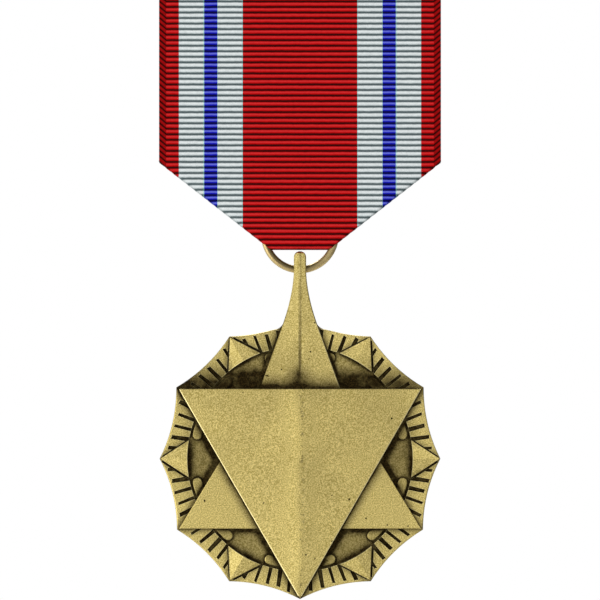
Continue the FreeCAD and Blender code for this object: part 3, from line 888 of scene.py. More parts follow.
# %% Close the cloth into one mesh
def cloth_mesh(name):
    """Two faces of cloth joined round their edges, with across and along kept as coordinates."""
    height, width = middle.shape[:2]
    points = np.concatenate([(middle + offset).reshape(-1, 3), (middle - offset).reshape(-1, 3)]) * MM
    behind = height * width
    faces = []
    for row in range(height - 1):
        for column in range(width - 1):
            corner = row * width + column
            quad = [corner, corner + 1, corner + width + 1, corner + width]
            faces.append(quad)
            faces.append([behind + vertex for vertex in reversed(quad)])
    rim = list(range(width))
    rim += [row * width + width - 1 for row in range(1, height)]
    rim += [(height - 1) * width + column for column in range(width - 2, -1, -1)]
    rim += [row * width for row in range(height - 2, 0, -1)]
    for index, here in enumerate(rim):
        after = rim[(index + 1) % len(rim)]
        faces.append([after, here, behind + here, behind + after])
    mesh = bpy.data.meshes.new(name)
    mesh.from_pydata(points.tolist(), [], faces)
    along = np.array([(distance - shift) / RIB for distance, _ in rows])
    place = np.stack([across, np.repeat(along[:, None], width, axis=1)], axis=2).reshape(-1, 2)
    place = np.concatenate([place, place])
    layer = mesh.uv_layers.new(name="strip")
    corners = np.empty(len(mesh.loops), np.int32)
    mesh.loops.foreach_get("vertex_index", corners)
    layer.data.foreach_set("uv", place[corners].astype(np.float32).ravel())
    mesh.shade_smooth()
    mesh.validate()
    piece = bpy.data.objects.new(name, mesh)
    bpy.context.scene.collection.objects.link(piece)
    return piece


ribbon = cloth_mesh("woven_ribbon")
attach(ribbon, "brooch")
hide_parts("ribbon")
print("ribbon:", len(ribbon.data.polygons), "faces")

# %% [markdown]
# ## Stitches
# A row of stitches closes the ribbon behind the bar. Each is a short length of twisted thread
# that dips into the cloth at both ends. One stitch is a bent tube whose surface winds like
# rope, and the row repeats it.

# %% The row of stitches
THREAD = 0.13  # the thread's radius
STITCHES = 15
STITCH_LENGTH = 1.5
TWIST = 14  # radians that the two plies turn along one stitch
DIP = 0.3  # how deep a stitch's ends go into the cloth
stitch_low, stitch_high = [tuple(v / MM for v in corner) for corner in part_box("ribbon_stitches")]
stitch_z = (stitch_low[2] + stitch_high[2]) / 2
pitch = (stitch_high[0] - stitch_low[0] - STITCH_LENGTH) / (STITCHES - 1)


def stitch(left):
    """One stitch as a two-ply tube, its ends sunk in the cloth."""
    steps, sides = 18, 12
    points, faces = [], []
    for step in range(steps + 1):
        share = step / steps
        dip = DIP * (2 * abs(share - 0.5)) ** 6
        for side in range(sides):
            turn = 2 * math.pi * side / sides
            ply = 1 + 0.22 * math.cos(2 * turn - TWIST * share)
            y = stitch_high[1] - THREAD * 0.75 - dip + THREAD * 0.7 * ply * math.sin(turn)
            z = stitch_z + THREAD * ply * math.cos(turn)
            points.append((left + STITCH_LENGTH * share, y, z))
    for step in range(steps):
        for side in range(sides):
            after = (side + 1) % sides
            low, high = step * sides, (step + 1) * sides
            faces.append([low + side, low + after, high + after, high + side])
    faces.append(list(range(sides)))
    faces.append([steps * sides + side for side in range(sides)])
    return points, faces


row = [stitch(stitch_low[0] + pitch * index) for index in range(STITCHES)]
stitches = many("tack_stitches", row, unit=MM)
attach(stitches, "brooch")
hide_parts("ribbon_stitches")
print(STITCHES, "stitches, one every", round(pitch, 2), "mm")

# %% [markdown]
# ## Softer edges on the brooch
# The bar, plate, hinge and catch are small stampings whose shapes the engineer's model already
# gives. Real stampings are tumbled, so no edge is knife sharp. A bevel modifier rounds them
# without touching the mesh beneath. The pin is ground round already and is left alone.

# %% Bevel the brooch
BEVELS = {
    "core_bar": 0.05,
    "pin_plate": 0.1,
    "hinge_lug": 0.06,
    "hinge_rivet": 0.08,
    "catch_body": 0.05,
    "catch_lock": 0.05,
}
for node, size in BEVELS.items():
    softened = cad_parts[node].modifiers.new("tumbled", "BEVEL")
    softened.width = size * MM
    softened.segments = 2
    softened.limit_method = "ANGLE"
    softened.angle_limit = math.radians(50)
    softened.harden_normals = False
print("bevelled", len(BEVELS), "stampings")

# %% [markdown]
# ## Materials: how the nodes are written
# Each finish is a small node tree. Writing trees by hand gets long, so a little class holds the
# tree and offers short methods: one adds a node, one does arithmetic, one mixes two colours.

# %% A small node writer
class Finish:
    """A material under construction: its tree, its shader and short ways to add nodes."""

    def __init__(self, name, **sockets):
        self.material = bpy.data.materials.new(name)
        self.material.use_nodes = True
        self.tree = self.material.node_tree
        self.shader = self.tree.nodes["Principled BSDF"]
        for socket, value in sockets.items():
            self.shader.inputs[socket.replace("_", " ")].default_value = value

    def add(self, kind, inputs=(), **settings):
        """A new node, with its input sockets fed and its settings set."""
        node = self.tree.nodes.new("ShaderNode" + kind)
        for setting, value in settings.items():
            setattr(node, setting, value)
        for socket, value in dict(inputs).items():
            self.feed(node.inputs[socket], value)
        return node

    def feed(self, socket, value):
        """Link a socket to another node's output, or write a plain value in it."""
        if isinstance(value, bpy.types.NodeSocket):
            self.tree.links.new(value, socket)
        else:
            socket.default_value = value

    def work(self, operation, a, b=0.0, clamp=False):
        """One step of arithmetic. The six methods below are the steps that come up most."""
        node = self.add("Math", {0: a, 1: b}, operation=operation, use_clamp=clamp)
        return node.outputs[0]

    def plus(self, a, b, clamp=False):
        return self.work("ADD", a, b, clamp)

    def minus(self, a, b):
        return self.work("SUBTRACT", a, b)

    def times(self, a, b, clamp=False):
        return self.work("MULTIPLY", a, b, clamp)

    def larger(self, a, b):
        return self.work("MAXIMUM", a, b)

    def above(self, a, b):
        return self.work("GREATER_THAN", a, b)

    def below(self, a, b):
        return self.work("LESS_THAN", a, b)

    def ramp(self, value, low, high, to_low=0.0, to_high=1.0):
        """Slide from to_low to to_high while the value goes from low to high, and stop there."""
        node = self.add("MapRange", {0: value, 1: low, 2: high, 3: to_low, 4: to_high}, clamp=True)
        return node.outputs[0]

    def blend(self, share, first, second):
        """Two colours mixed: the first where the share is nought, the second where it is one."""
        node = self.add("Mix", data_type="RGBA", blend_type="MIX", clamp_factor=True)
        self.feed(node.inputs[0], share)
        self.feed(node.inputs[6], first)
        self.feed(node.inputs[7], second)
        return node.outputs[2]

    def noise(self, place, scale, detail=2.0, rough=0.5):
        """Cloudy noise. A larger scale is finer: it counts the clouds in a metre."""
        inputs = {"Vector": place, "Scale": scale, "Detail": detail, "Roughness": rough}
        return self.add("TexNoise", inputs).outputs[0]

    def place(self):
        """Where the point is, in metres. It stays with the piece when a joint moves."""
        return self.add("TexCoord").outputs["Object"]

    def bump(self, height, depth, strength=1.0):
        """Relief too fine for the mesh: it only tilts the shading."""
        node = self.add("Bump", {"Height": height, "Distance": depth, "Strength": strength})
        self.tree.links.new(node.outputs[0], self.shader.inputs["Normal"])

    def paint(self, color, roughness=None):
        """Connect the finished colour and roughness, and hand over the material."""
        self.feed(self.shader.inputs["Base Color"], color)
        if roughness is not None:
            self.feed(self.shader.inputs["Roughness"], roughness)
        return self.material


def wear(piece, material):
    """Give a piece one material, in each of its slots, or in a new slot on its mesh if it has none."""
    if not piece.material_slots:
        piece.data.materials.append(material)
    for slot in piece.material_slots:
        slot.material = material


print("node writer ready")

# %% [markdown]
# ## Struck bronze
# The medal is gilt bronze, sandblasted matt, then dipped in a dark finish and wiped. The dark
# stays where the cloth can't reach: in grooves, beside steps and on the sunk floor. Ambient
# occlusion finds those places, because it measures how shut in each point is. The same
# measure taken from inside the metal finds the outer edges, which wear bright. Beside the steps
# the dark bands are patina and painted shade together, and the thin bright lines along the star's
# sides and the spike's right-hand edge are painted highlights.

# %% Where a point lies on the medal
STAR_TILT = math.radians(30)
EDGE_SLACK = 0.04


def past_slant(finish, away, up, slope, start):
    """Distance past a slanted side of a triangle or of the spike."""
    across = finish.times(away, math.cos(slope))
    climb = finish.times(up, math.sin(slope))
    return finish.minus(finish.plus(across, climb), start)


def medal_places(finish, place):
    """Millimetres across, up and above the back, and past each edge of the relief."""
    in_mm = finish.add("VectorMath", {0: place, 3: 1 / MM}, operation="SCALE").outputs[0]
    parts = finish.add("SeparateXYZ", {0: in_mm})
    at = SimpleNamespace(across=parts.outputs["X"])
    at.away = finish.work("ABSOLUTE", at.across)
    at.up = finish.minus(parts.outputs["Z"], middle_z)
    at.height = finish.minus(back_y, parts.outputs["Y"])
    at.over_top = finish.minus(at.up, TRIANGLE_TOP)
    at.above_top = finish.above(at.up, TRIANGLE_TOP)
    at.past_side = past_slant(finish, at.away, at.up, -STAR_TILT, TRIANGLE_TOP)
    at.past_lower = past_slant(finish, at.away, at.up, STAR_TILT, TRIANGLE_TOP)
    lean = math.atan2(SPIKE_FOOT - SPIKE_WAIST, WAIST_HEIGHT - TRIANGLE_TOP)
    foot = SPIKE_FOOT * math.cos(lean) + TRIANGLE_TOP * math.sin(lean)
    at.past_spike = past_slant(finish, at.away, at.up, lean, foot)
    off_star = finish.above(finish.larger(at.over_top, at.past_side), -EDGE_SLACK)
    at.outside = finish.times(off_star, finish.above(at.height, FLOOR - 0.12))
    return at


print("the finish can find the star's edges and the spike's")

# %% [markdown]
# The dip lies thickest at the foot of a step and thins away from it. The bands also paint shade:
# above the star's top edge, below its lower corners and beside the ray points, the dark is patina
# and painted shade together. Each helper below gives one such band, from nought to one, with its
# reach in millimetres. The circle of ray points is folded like a paper fan into half a sixth, so that
# one formula serves all six.

# %% Dark beside the star and the spike
def fading(finish, distance, width, power=1.6):
    """Full beside the step, nothing beyond the width, nothing on the step itself."""
    fade = finish.work("POWER", finish.ramp(distance, width, 0.0), power)
    return finish.times(fade, finish.above(distance, -EDGE_SLACK))


def dark_over_top(finish, at, reach=2.5, hump=1.5, hump_half=2.2, low_reach=3.4, low_share=0.86):
    """Patina and painted shade above the star's top edge: it climbs in the middle, and lies wider on
    low metal.
    """
    taller = finish.times(finish.ramp(at.away, hump_half, 0.0), hump)
    taller = finish.times(taller, finish.ramp(at.over_top, 0.0, 2.0))
    band = fading(finish, finish.minus(at.over_top, taller), reach, 1.7)
    low = finish.times(finish.ramp(at.over_top, low_reach, 0.7), finish.below(at.height, RIM + 0.12))
    low = finish.times(finish.times(low, low_share), finish.above(at.over_top, 0.0))
    return finish.larger(band, low)


def dark_beside_star(finish, at, reach=1.3, lower_reach=1.0, lower_share=0.8):
    """Dark beside the slanting sides, and patina with a painted shadow beside and below the lower
    corners.
    """
    beneath_top = finish.below(at.up, TRIANGLE_TOP)
    sides = finish.times(fading(finish, at.past_side, reach), beneath_top)
    under = finish.minus(finish.times(at.up, -1.0), TRIANGLE_TOP)
    corners = fading(finish, finish.larger(under, at.past_lower), lower_reach)
    return finish.larger(sides, finish.times(finish.times(corners, lower_share), beneath_top))


def dark_beside_spike(finish, at, reach=1.2, fade_start=17.0, fade_end=18.6):
    """Dark beside the spike, as high as the plate goes."""
    band = finish.times(fading(finish, at.past_spike, reach), finish.ramp(at.up, fade_end, fade_start))
    return finish.times(band, at.above_top)


print("dark bands follow the triangles and the spike")

# %% Dark beside the ray points and in the crease
def dark_beside_points(finish, at, reach=0.9, share=0.75, heel_reach=1.5, heel_share=0.34):
    """Patina and painted shade beside the six ray points, and dark along the inner ends of the rays.
    """
    local = finish.work("PINGPONG", finish.work("ARCTAN2", at.up, at.across), STAR_TILT)
    square = finish.plus(finish.work("POWER", at.across, 2.0), finish.work("POWER", at.up, 2.0))
    radius = finish.work("SQRT", square)
    out = finish.times(radius, finish.work("COSINE", local))
    side = finish.times(radius, finish.work("SINE", local))
    run = (Vector(around(INNER, POINT_HALF)) - Vector((TIP, 0))).normalized()
    past = finish.minus(finish.times(out, run.y), TIP * run.y)
    past = finish.minus(past, finish.times(side, run.x))
    band = finish.times(fading(finish, past, reach, 1.4), share)
    heels = finish.times(finish.ramp(radius, INNER + heel_reach, INNER), heel_share)
    low = finish.times(finish.below(at.height, RIM + 0.1), finish.above(radius, INNER))
    return finish.times(finish.larger(band, heels), low)


def dark_crease(finish, at, share=0.62, share_at_eye=0.42):
    """A thin dark line up the spike's ridge, fainter towards the eye."""
    crease = finish.ramp(at.away, 0.28, 0.1, 0.0, share)
    return finish.times(crease, finish.ramp(at.up, 22.0, 10.5, share_at_eye, 1.0))


def bands_of_patina_and_shade(finish, at):
    """All the bands of patina and painted shade together, the darkest one winning."""
    dark = finish.larger(dark_over_top(finish, at), dark_beside_star(finish, at))
    dark = finish.larger(dark, dark_beside_spike(finish, at))
    dark = finish.larger(dark, dark_beside_points(finish, at))
    dark = finish.larger(dark, dark_crease(finish, at))
    return finish.times(dark, at.outside)


print("dark bands follow the ray points and the crease")

# %% [markdown]
# Handling does the opposite of the dip: it rubs bright the edges that stand out. The thin bright
# lines along the upper triangle's sides and the spike's right-hand edge are painted highlights. Over
# the open metal lies a film that the wiping cloth left, cloudy and uneven; painted shade also darkens
# it right of the ridge, and on the spike a painted highlight lightens the right-hand facet. These
# small differences are what keeps a large plain face from looking like plastic.

# %% Painted highlight lines, film and pits
def highlight_line(finish, past, where, width=0.14):
    """A painted highlight: the narrow bright band just inside an edge."""
    inside = finish.times(finish.above(past, -width), finish.below(past, 0.0))
    return finish.times(inside, where)


def painted_highlight_lines(finish, at):
    """Painted highlight lines along the upper triangle's sides and the spike's right-hand edge."""
    on_star = highlight_line(finish, at.past_side, finish.above(at.height, LOWER + 0.1))
    spike_face = finish.times(finish.above(at.height, LOWER - 0.2), finish.ramp(at.up, 17.2, 16.6))
    spike_face = finish.times(spike_face, finish.above(at.up, TRIANGLE_TOP + 0.1))
    spike_face = finish.times(spike_face, finish.above(at.across, 0.0))
    return finish.larger(on_star, highlight_line(finish, at.past_spike, spike_face))


def film_and_facet_shade(finish, place, at):
    """The film left on open metal, with painted shade right of the ridge and a painted highlight on
    the spike's right facet. Each row: where, from, to, and the film at either end.
    """
    film = finish.ramp(finish.noise(place, 170.0, 2.0), 0.3, 0.7, 0.0, 0.19)
    film = finish.times(film, finish.ramp(at.up, -14.0, 2.0, 0.15, 1.0))
    # painted shade and highlight on the spike's two facets: the left a little darker, the right
    # lighter
    facets = finish.ramp(at.across, -0.2, 0.2, 0.02, -0.13)
    film = finish.plus(film, finish.times(facets, at.above_top))
    for where, start, end, first, last in (
        (at.up, -9.0, 12.0, 0.0, 0.10),  # darker towards the top
        (at.across, -0.6, 0.9, 0.0, 0.05),  # and painted shade right of the ridge
        (at.up, 12.0, 14.0, 0.0, -0.08),  # wiped cleaner on the spike
        (at.across, 13.0, 14.2, 0.0, -0.1),  # and on the right-hand rays
        (at.height, 0.06, 0.02, 0.0, 0.2),  # thickest on the flat back
    ):
        film = finish.plus(film, finish.ramp(where, start, end, first, last))
    return film


def pits_and_specks(finish, place, at):
    """Small dark pits all over, and specks gathered along the ridge."""
    from_ridge = finish.work("ABSOLUTE", finish.minus(at.across, 0.2))
    on_ridge = finish.times(finish.ramp(from_ridge, 0.45, 0.1), finish.above(at.height, UPPER))
    specks = finish.ramp(finish.noise(place, 2600.0, 1.0), 0.56, 0.7, 0.0, 0.55)
    pits = finish.ramp(finish.noise(place, 1900.0, 0.0), 0.152, 0.135)
    return finish.larger(pits, finish.times(specks, on_ridge))


print("edges, film and pits ready")

# %% [markdown]
# All of it comes together in one material. The amount of dip and painted shade is built up first:
# what is shut in, what lies beside a step, the sunk floor and the lands, then the film. The colour
# goes from sandblasted gold to the dark of the dip by that amount, and the rubbed edges and the
# painted highlight lines are laid on top.

# %% The bronze finish
DULL_GOLD = (0.50, 0.39, 0.105, 1)
CLEAR_GOLD = (0.95, 0.79, 0.32, 1)
RUBBED_AND_HIGHLIGHT_GOLD = (1.0, 0.88, 0.45, 1)
PIT_TONE = (0.06, 0.045, 0.015, 1)
PATINA_AND_SHADE_BLACK = (0.016, 0.011, 0.004, 1)
PATINA_AND_SHADE_BROWN = (0.13, 0.083, 0.022, 1)
PATINA_AND_SHADE_DEEPEST = (0.010, 0.007, 0.003, 1)
WIDE_REACH = 1.3  # how far ambient occlusion looks, in millimetres
NARROW_REACH = 0.55
EDGE_REACH = 0.16


def openness(finish, reach, samples, inside=False):
    """One where a point is open to the room within this reach, less where it is shut in."""
    inputs = {"Distance": reach * MM}
    node = finish.add("AmbientOcclusion", inputs, samples=samples, inside=inside, only_local=True)
    return node.outputs["AO"]


def amount_of_patina_and_shade(finish, place, at, beside):
    """How much of the dark dip and the painted shade is left, from nought to one."""
    patina_and_shade = finish.larger(finish.ramp(openness(finish, WIDE_REACH, 12), 0.95, 0.45), beside)
    patina_and_shade = finish.larger(patina_and_shade, finish.ramp(openness(finish, NARROW_REACH, 12), 0.96, 0.55))
    sunk = finish.times(finish.ramp(at.height, FLOOR + 0.2, FLOOR + 0.1, 0.0, 0.53), at.outside)
    sunk = finish.times(sunk, finish.ramp(at.up, TRIANGLE_TOP, TRIANGLE_TOP + 0.3, 1.0, 0.3))
    lands = finish.times(finish.ramp(at.height, LAND + 0.1, LAND + 0.04, 0.0, 0.28), at.outside)
    patina_and_shade = finish.plus(patina_and_shade, finish.larger(sunk, lands), clamp=True)
    return finish.plus(patina_and_shade, film_and_facet_shade(finish, place, at), clamp=True)


def bronze(name):
    """Sandblasted gilt bronze, dipped dark and wiped, with painted shade beside the steps and painted
    highlight lines.
    """
    finish = Finish(name, Metallic=1.0)
    place = finish.place()
    at = medal_places(finish, place)
    grain = finish.noise(place, 7200.0, 1.0, 0.6)
    mottle = finish.noise(place, 900.0, 3.0, 0.6)
    # patina and painted shade beside the steps
    beside = bands_of_patina_and_shade(finish, at)
    patina_and_shade = amount_of_patina_and_shade(finish, place, at, beside)
    patina_and_shade = finish.times(patina_and_shade, finish.ramp(mottle, 0.3, 0.7, 0.90, 1.08), clamp=True)
    gold = finish.blend(finish.ramp(grain, 0.36, 0.66), DULL_GOLD, CLEAR_GOLD)
    gold = finish.blend(pits_and_specks(finish, place, at), gold, PIT_TONE)
    # the dark colours of the patina, also used for the painted shade
    dark = finish.blend(finish.ramp(grain, 0.42, 0.7), PATINA_AND_SHADE_BLACK, PATINA_AND_SHADE_BROWN)
    dark = finish.blend(finish.ramp(patina_and_shade, 0.8, 1.0, 0.0, 0.6), dark, PATINA_AND_SHADE_DEEPEST)
    rubbed = finish.ramp(openness(finish, EDGE_REACH, 12, inside=True), 0.82, 0.55, 0.0, 0.5)
    # rubbed edges are wear; the lines laid on them here are painted highlights, in the same bright
    # gold
    rubbed = finish.larger(rubbed, finish.times(painted_highlight_lines(finish, at), 0.8))
    rubbed = finish.times(rubbed, finish.ramp(beside, 0.3, 0.8, 1.0, 0.2))
    color = finish.blend(rubbed, finish.blend(patina_and_shade, gold, dark), RUBBED_AND_HIGHLIGHT_GOLD)
    finish.bump(finish.plus(grain, finish.times(mottle, 0.6)), 0.03 * MM, 0.55)
    return finish.paint(color, finish.ramp(grain, 0.3, 0.7, 0.46, 0.6))


wear(pendant, bronze("struck_bronze"))
print("bronze on", pendant.name)

# %% [markdown]
# ## Wire and stampings
# The ring is drawn wire: its marks run round the circle, and grime sits on its inner side where
# the ribbon rubs. Its tones across the round of the wire, from the dark inner side to the bright
# outer side, are also painted light and shade, and its right-hand side carries a painted highlight.
# The brooch is plain brass with fine scratches and painted shade in its hollows, and the pin is steel.

# %% Drawn wire
WIRE_GRIME_AND_SHADING_TONES = (
    (0.10, (0.34, 0.28, 0.12, 1)),
    (0.30, (0.09, 0.075, 0.025, 1)),
    (0.55, (0.19, 0.14, 0.07, 1)),
    (0.75, (0.50, 0.38, 0.17, 1)),
    (1.0, (0.78, 0.62, 0.30, 1)),
)
WIRE_PAINTED_HIGHLIGHT = (0.9, 0.72, 0.34, 1)


def wire_bands(finish, share):
    """The wire's tones from its inner side to its outer side: grime with painted shade inside, painted
    light outside.
    """
    node = finish.add("ValToRGB", {0: share})
    stops = node.color_ramp.elements
    for position, _ in WIRE_GRIME_AND_SHADING_TONES[1:-1]:
        stops.new(position)
    for stop, (position, tone) in zip(stops, WIRE_GRIME_AND_SHADING_TONES):
        stop.position = position
        stop.color = tone
    return node.outputs[0]


def drawn_wire(name):
    """Gilt wire with grime and painted shade on its inner side, painted light outside, and a painted
    highlight on its right.
    """
    finish = Finish(name, Metallic=1.0)
    place = finish.place()
    parts = finish.add("SeparateXYZ", {0: place})
    across = parts.outputs["X"]
    up = finish.minus(parts.outputs["Z"], ring_z * MM)
    square = finish.plus(finish.work("POWER", across, 2.0), finish.work("POWER", up, 2.0))
    inner = (RING_RADIUS - WIRE) * MM
    outer = (RING_RADIUS + WIRE) * MM
    out = finish.ramp(finish.work("SQRT", square), inner, outer)
    fine = finish.noise(place, 2600.0, 3.0)
    lines = finish.add("TexWave", {"Vector": place, "Scale": 900.0, "Distortion": 6.0}).outputs[1]
    bands = wire_bands(finish, finish.plus(out, finish.times(fine, 0.12)))
    # a painted highlight towards the ring's right-hand side
    color = finish.blend(finish.ramp(across, 0.5 * MM, 3.0 * MM, 0.0, 0.4), bands, WIRE_PAINTED_HIGHLIGHT)
    finish.bump(finish.plus(fine, finish.times(lines, 0.3)), 0.015 * MM, 0.4)
    return finish.paint(color, finish.ramp(fine, 0.3, 0.7, 0.42, 0.55))


wear(ring, drawn_wire("drawn_gilt_wire"))
print("wire finish on", ring.name)

# %% [markdown]
# Sheet brass and a polished steel pin differ in colour and in how smooth they are, but both carry
# the same marks: long scratches from the rolling mill, and dull patches from handling. So one
# function makes both, with the scratches stretched along the brooch.

# %% Brass and steel
BRASS = {
    "dull": (0.48, 0.33, 0.12, 1),
    "bright": (0.74, 0.56, 0.25, 1),
    "smooth": 0.26,
    "coarse": 0.45,
    "shade": (0.05, 0.03, 0.01, 1),
}
STEEL = {
    "dull": (0.42, 0.41, 0.39, 1),
    "bright": (0.66, 0.65, 0.62, 1),
    "smooth": 0.16,
    "coarse": 0.34,
    "shade": (0.04, 0.035, 0.03, 1),
}


def stamped(name, dull, bright, smooth, coarse, shade):
    """Plain sheet metal with crossed scratches, handling marks and painted shade in its hollows."""
    finish = Finish(name, Metallic=1.0)
    place = finish.place()
    long_way = finish.add("Mapping", {"Vector": place, "Scale": (0.12, 1.0, 1.0)}).outputs[0]
    scratch = finish.noise(long_way, 7000.0, 4.0, 0.7)
    marks = finish.noise(place, 420.0, 3.0)
    rubbed = finish.ramp(openness(finish, 0.12, 8, inside=True), 0.85, 0.55, 0.0, 0.5)
    # painted shade in the hollows, in the shade tone
    hollow = finish.ramp(openness(finish, 0.7, 8), 0.8, 0.3, 0.0, 0.8)
    color = finish.blend(finish.ramp(marks, 0.35, 0.65), dull, bright)
    color = finish.blend(rubbed, color, bright)
    color = finish.blend(hollow, color, shade)
    finish.bump(finish.plus(scratch, marks), 0.012 * MM, 0.35)
    return finish.paint(color, finish.ramp(scratch, 0.35, 0.7, smooth, coarse))


brass = stamped("stamped_brass", **BRASS)
steel = stamped("polished_steel", **STEEL)
for node in BEVELS:
    wear(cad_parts[node], brass)
wear(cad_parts["pin_stem"], steel)
print("brass on", len(BEVELS), "stampings, steel on the pin")

# %% [markdown]
# ## Woven colour
# The stripes are dyed threads that run the length of the ribbon, so colour depends only on the
# place across it. The ribs run the other way, over thick hidden threads. Each groove between
# two ribs is deep in shade, and its dye looks nearly black. Both read the coordinates that were
# saved with the strip, so they follow every fold. The woven border has its own small zigzag.

# %% Dyes and stripes
# Each dye has three tones: painted highlight on a rib's crest, the plain dye on its flank, and painted
# shade in the groove.
DYE_TONES_LIT_AND_SHADED = {
    "red": ((0.74, 0.026, 0.028, 1), (0.60, 0.003, 0.004, 1), (0.012, 0.0003, 0.0003, 1)),
    "white": ((0.92, 0.97, 0.97, 1), (0.73, 0.80, 0.81, 1), (0.058, 0.09, 0.095, 1)),
    "blue": ((0.15, 0.18, 0.80, 1), (0.008, 0.010, 0.56, 1), (0.0006, 0.0006, 0.03, 1)),
    "tie": ((0.66, 0.95, 0.95, 1), (0.45, 0.72, 0.72, 1), (0.10, 0.22, 0.22, 1)),
}
STRIPES = [
    ("red", 0.0),
    ("tie", 7.06),
    ("white", 7.17),
    ("tie", 10.09),
    ("blue", 10.19),
    ("tie", 11.83),
    ("white", 11.93),
    ("tie", 14.86),
    ("red", 14.97),
]
BORDER = 16.55  # where the woven border begins
THREAD_PITCH = 0.15  # from one lengthwise thread to the next


def stripe_ramp(finish, away, colors):
    """Colour bands from the middle of the ribbon outwards."""
    node = finish.add("ValToRGB", {0: away})
    node.color_ramp.interpolation = "CONSTANT"
    stops = node.color_ramp.elements
    while len(stops) < len(colors):
        stops.new(1.0)
    for stop, (color, start) in zip(stops, colors):
        stop.position = start / HALF_WIDTH
        stop.color = color
    return node.outputs[0]


print("the ribbon has", 2 * sum(kind != "tie" for kind, _ in STRIPES) - 1, "stripes")

# %% [markdown]
# Along the ribbon the colour changes with the rib: a painted highlight on the crest, the plain dye on
# the flank and painted shade, nearly black, in the groove. A sine wave across the ribbon stands for
# the single threads, and lets each groove start and stop a little differently. In the border the same
# ribs are bent into a zigzag by shifting them with the distance from the edge. A faint painted shade
# also runs along the two slanting folds.

# %% The ribbon finish
def fold_edge_shade(finish):
    """Painted shade: a faint darker line along the two slanting folds."""
    parts = finish.add("SeparateXYZ", {0: finish.place()})
    away = finish.times(finish.work("ABSOLUTE", parts.outputs["X"]), fold_out[0] / MM)
    up = finish.times(parts.outputs["Z"], fold_out[1] / MM)
    start = FLAT_HALF * fold_out[0] + end_z * fold_out[1]
    past = finish.minus(finish.plus(away, up), start)
    return finish.ramp(past, -0.22, 0.0, 0.0, 0.34)


def rib_phase(finish, ribs, border):
    """Where a point is on its rib, from nought to one, wavering a little and bent in the border."""
    wobble = finish.times(finish.noise(finish.place(), 1400.0, 2.0), 0.10)
    curved = finish.plus(finish.plus(ribs, wobble), finish.times(border, 1.1))
    return finish.work("FRACT", finish.plus(curved, -0.05))


def ribbed_silk(name):
    """Striped ribbed cloth, read from the place across and along the strip."""
    finish = Finish(name, Roughness=0.6, Specular_IOR_Level=0.04)
    parts = finish.add("SeparateXYZ", {0: finish.add("UVMap", uv_map="strip").outputs[0]})
    across_cloth = parts.outputs["X"]
    away = finish.times(finish.work("ABSOLUTE", finish.minus(across_cloth, 0.5)), 2.0)
    border = finish.ramp(away, BORDER / HALF_WIDTH, 1.0)
    in_border = finish.above(away, BORDER / HALF_WIDTH)
    thread_turns = 2 * HALF_WIDTH * 2 * math.pi / THREAD_PITCH
    thread = finish.work("SINE", finish.times(across_cloth, thread_turns))
    phase = rib_phase(finish, parts.outputs["Y"], border)
    from_groove = finish.minus(0.5, finish.work("ABSOLUTE", finish.minus(phase, 0.5)))
    weft = finish.plus(from_groove, finish.times(thread, 0.03))
    # painted shade in the groove between two ribs
    groove = finish.times(finish.ramp(weft, 0.30, 0.12), finish.ramp(thread, -1.0, 0.4, 0.84, 1.0))
    # crest is the painted highlight tone, flank the plain dye, deep the painted shade tone
    crest, flank, deep = (
        stripe_ramp(finish, away, [(DYE_TONES_LIT_AND_SHADED[kind][depth], start) for kind, start in STRIPES])
        for depth in range(3)
    )
    # painted highlight on the upper middle of each rib
    crest_highlight = finish.ramp(finish.work("ABSOLUTE", finish.minus(phase, 0.43)), 0.22, 0.07)
    crest_highlight = finish.times(crest_highlight, finish.minus(1.0, in_border))
    shade = finish.ramp(finish.noise(finish.place(), 2400.0, 2.0), 0.3, 0.7, 0.0, 0.10)
    shade = finish.plus(shade, finish.ramp(thread, -1.0, 1.0, 0.08, 0.0))
    color = finish.blend(crest_highlight, flank, crest)
    # the groove and the fold edge are painted shade
    for darker in (shade, groove, finish.times(in_border, 0.38), fold_edge_shade(finish)):
        color = finish.blend(darker, color, deep)
    finish.bump(finish.plus(finish.times(thread, 0.35), finish.times(groove, -0.8)), 0.02 * MM, 0.6)
    return finish.paint(color)


wear(ribbon, ribbed_silk("ribbed_silk"))
print("ribbon dyed")

# %% [markdown]
# The stitches are plain red sewing thread. A diagonal wave paints the wound plies a lit and a
# shaded side, painted light and shade, and a little sheen gives the fuzz that thread always has.

# %% The thread's finish
THREAD_SHADED = (0.22, 0.006, 0.008, 1)
THREAD_LIT = (0.50, 0.02, 0.02, 1)


def twisted_thread(name):
    """Two-ply sewing thread, slightly fuzzy."""
    finish = Finish(name, Roughness=0.7, Sheen_Weight=0.25)
    place = finish.place()
    winding = {"Vector": place, "Scale": 1500.0, "Distortion": 1.5}
    ply = finish.add("TexWave", winding, bands_direction="DIAGONAL")
    fuzz = finish.noise(place, 9000.0, 2.0)
    # painted light and shade on the two sides of each ply
    color = finish.blend(ply.outputs[1], THREAD_SHADED, THREAD_LIT)
    finish.bump(finish.plus(ply.outputs[1], fuzz), 0.02 * MM, 0.6)
    return finish.paint(color)


wear(stitches, twisted_thread("twisted_thread"))
print("thread finish on", stitches.name)

# %% [markdown]
# ## Floor, light and camera
# The medal hangs over a small pale floor. Metal shows what is around it, so the surroundings
# matter more than the lamps: a white room would turn it flat. The floor is a plain disc of pale
# plaster, far enough below the medal that it throws no colour on it.

# %% Floor
FLOOR_DROP = 45.0  # from the lowest tip down to the floor
FLOOR_RADIUS = 120.0
PLASTER_DARK = (0.80, 0.80, 0.79, 1)
PLASTER_LIGHT = (0.88, 0.88, 0.87, 1)


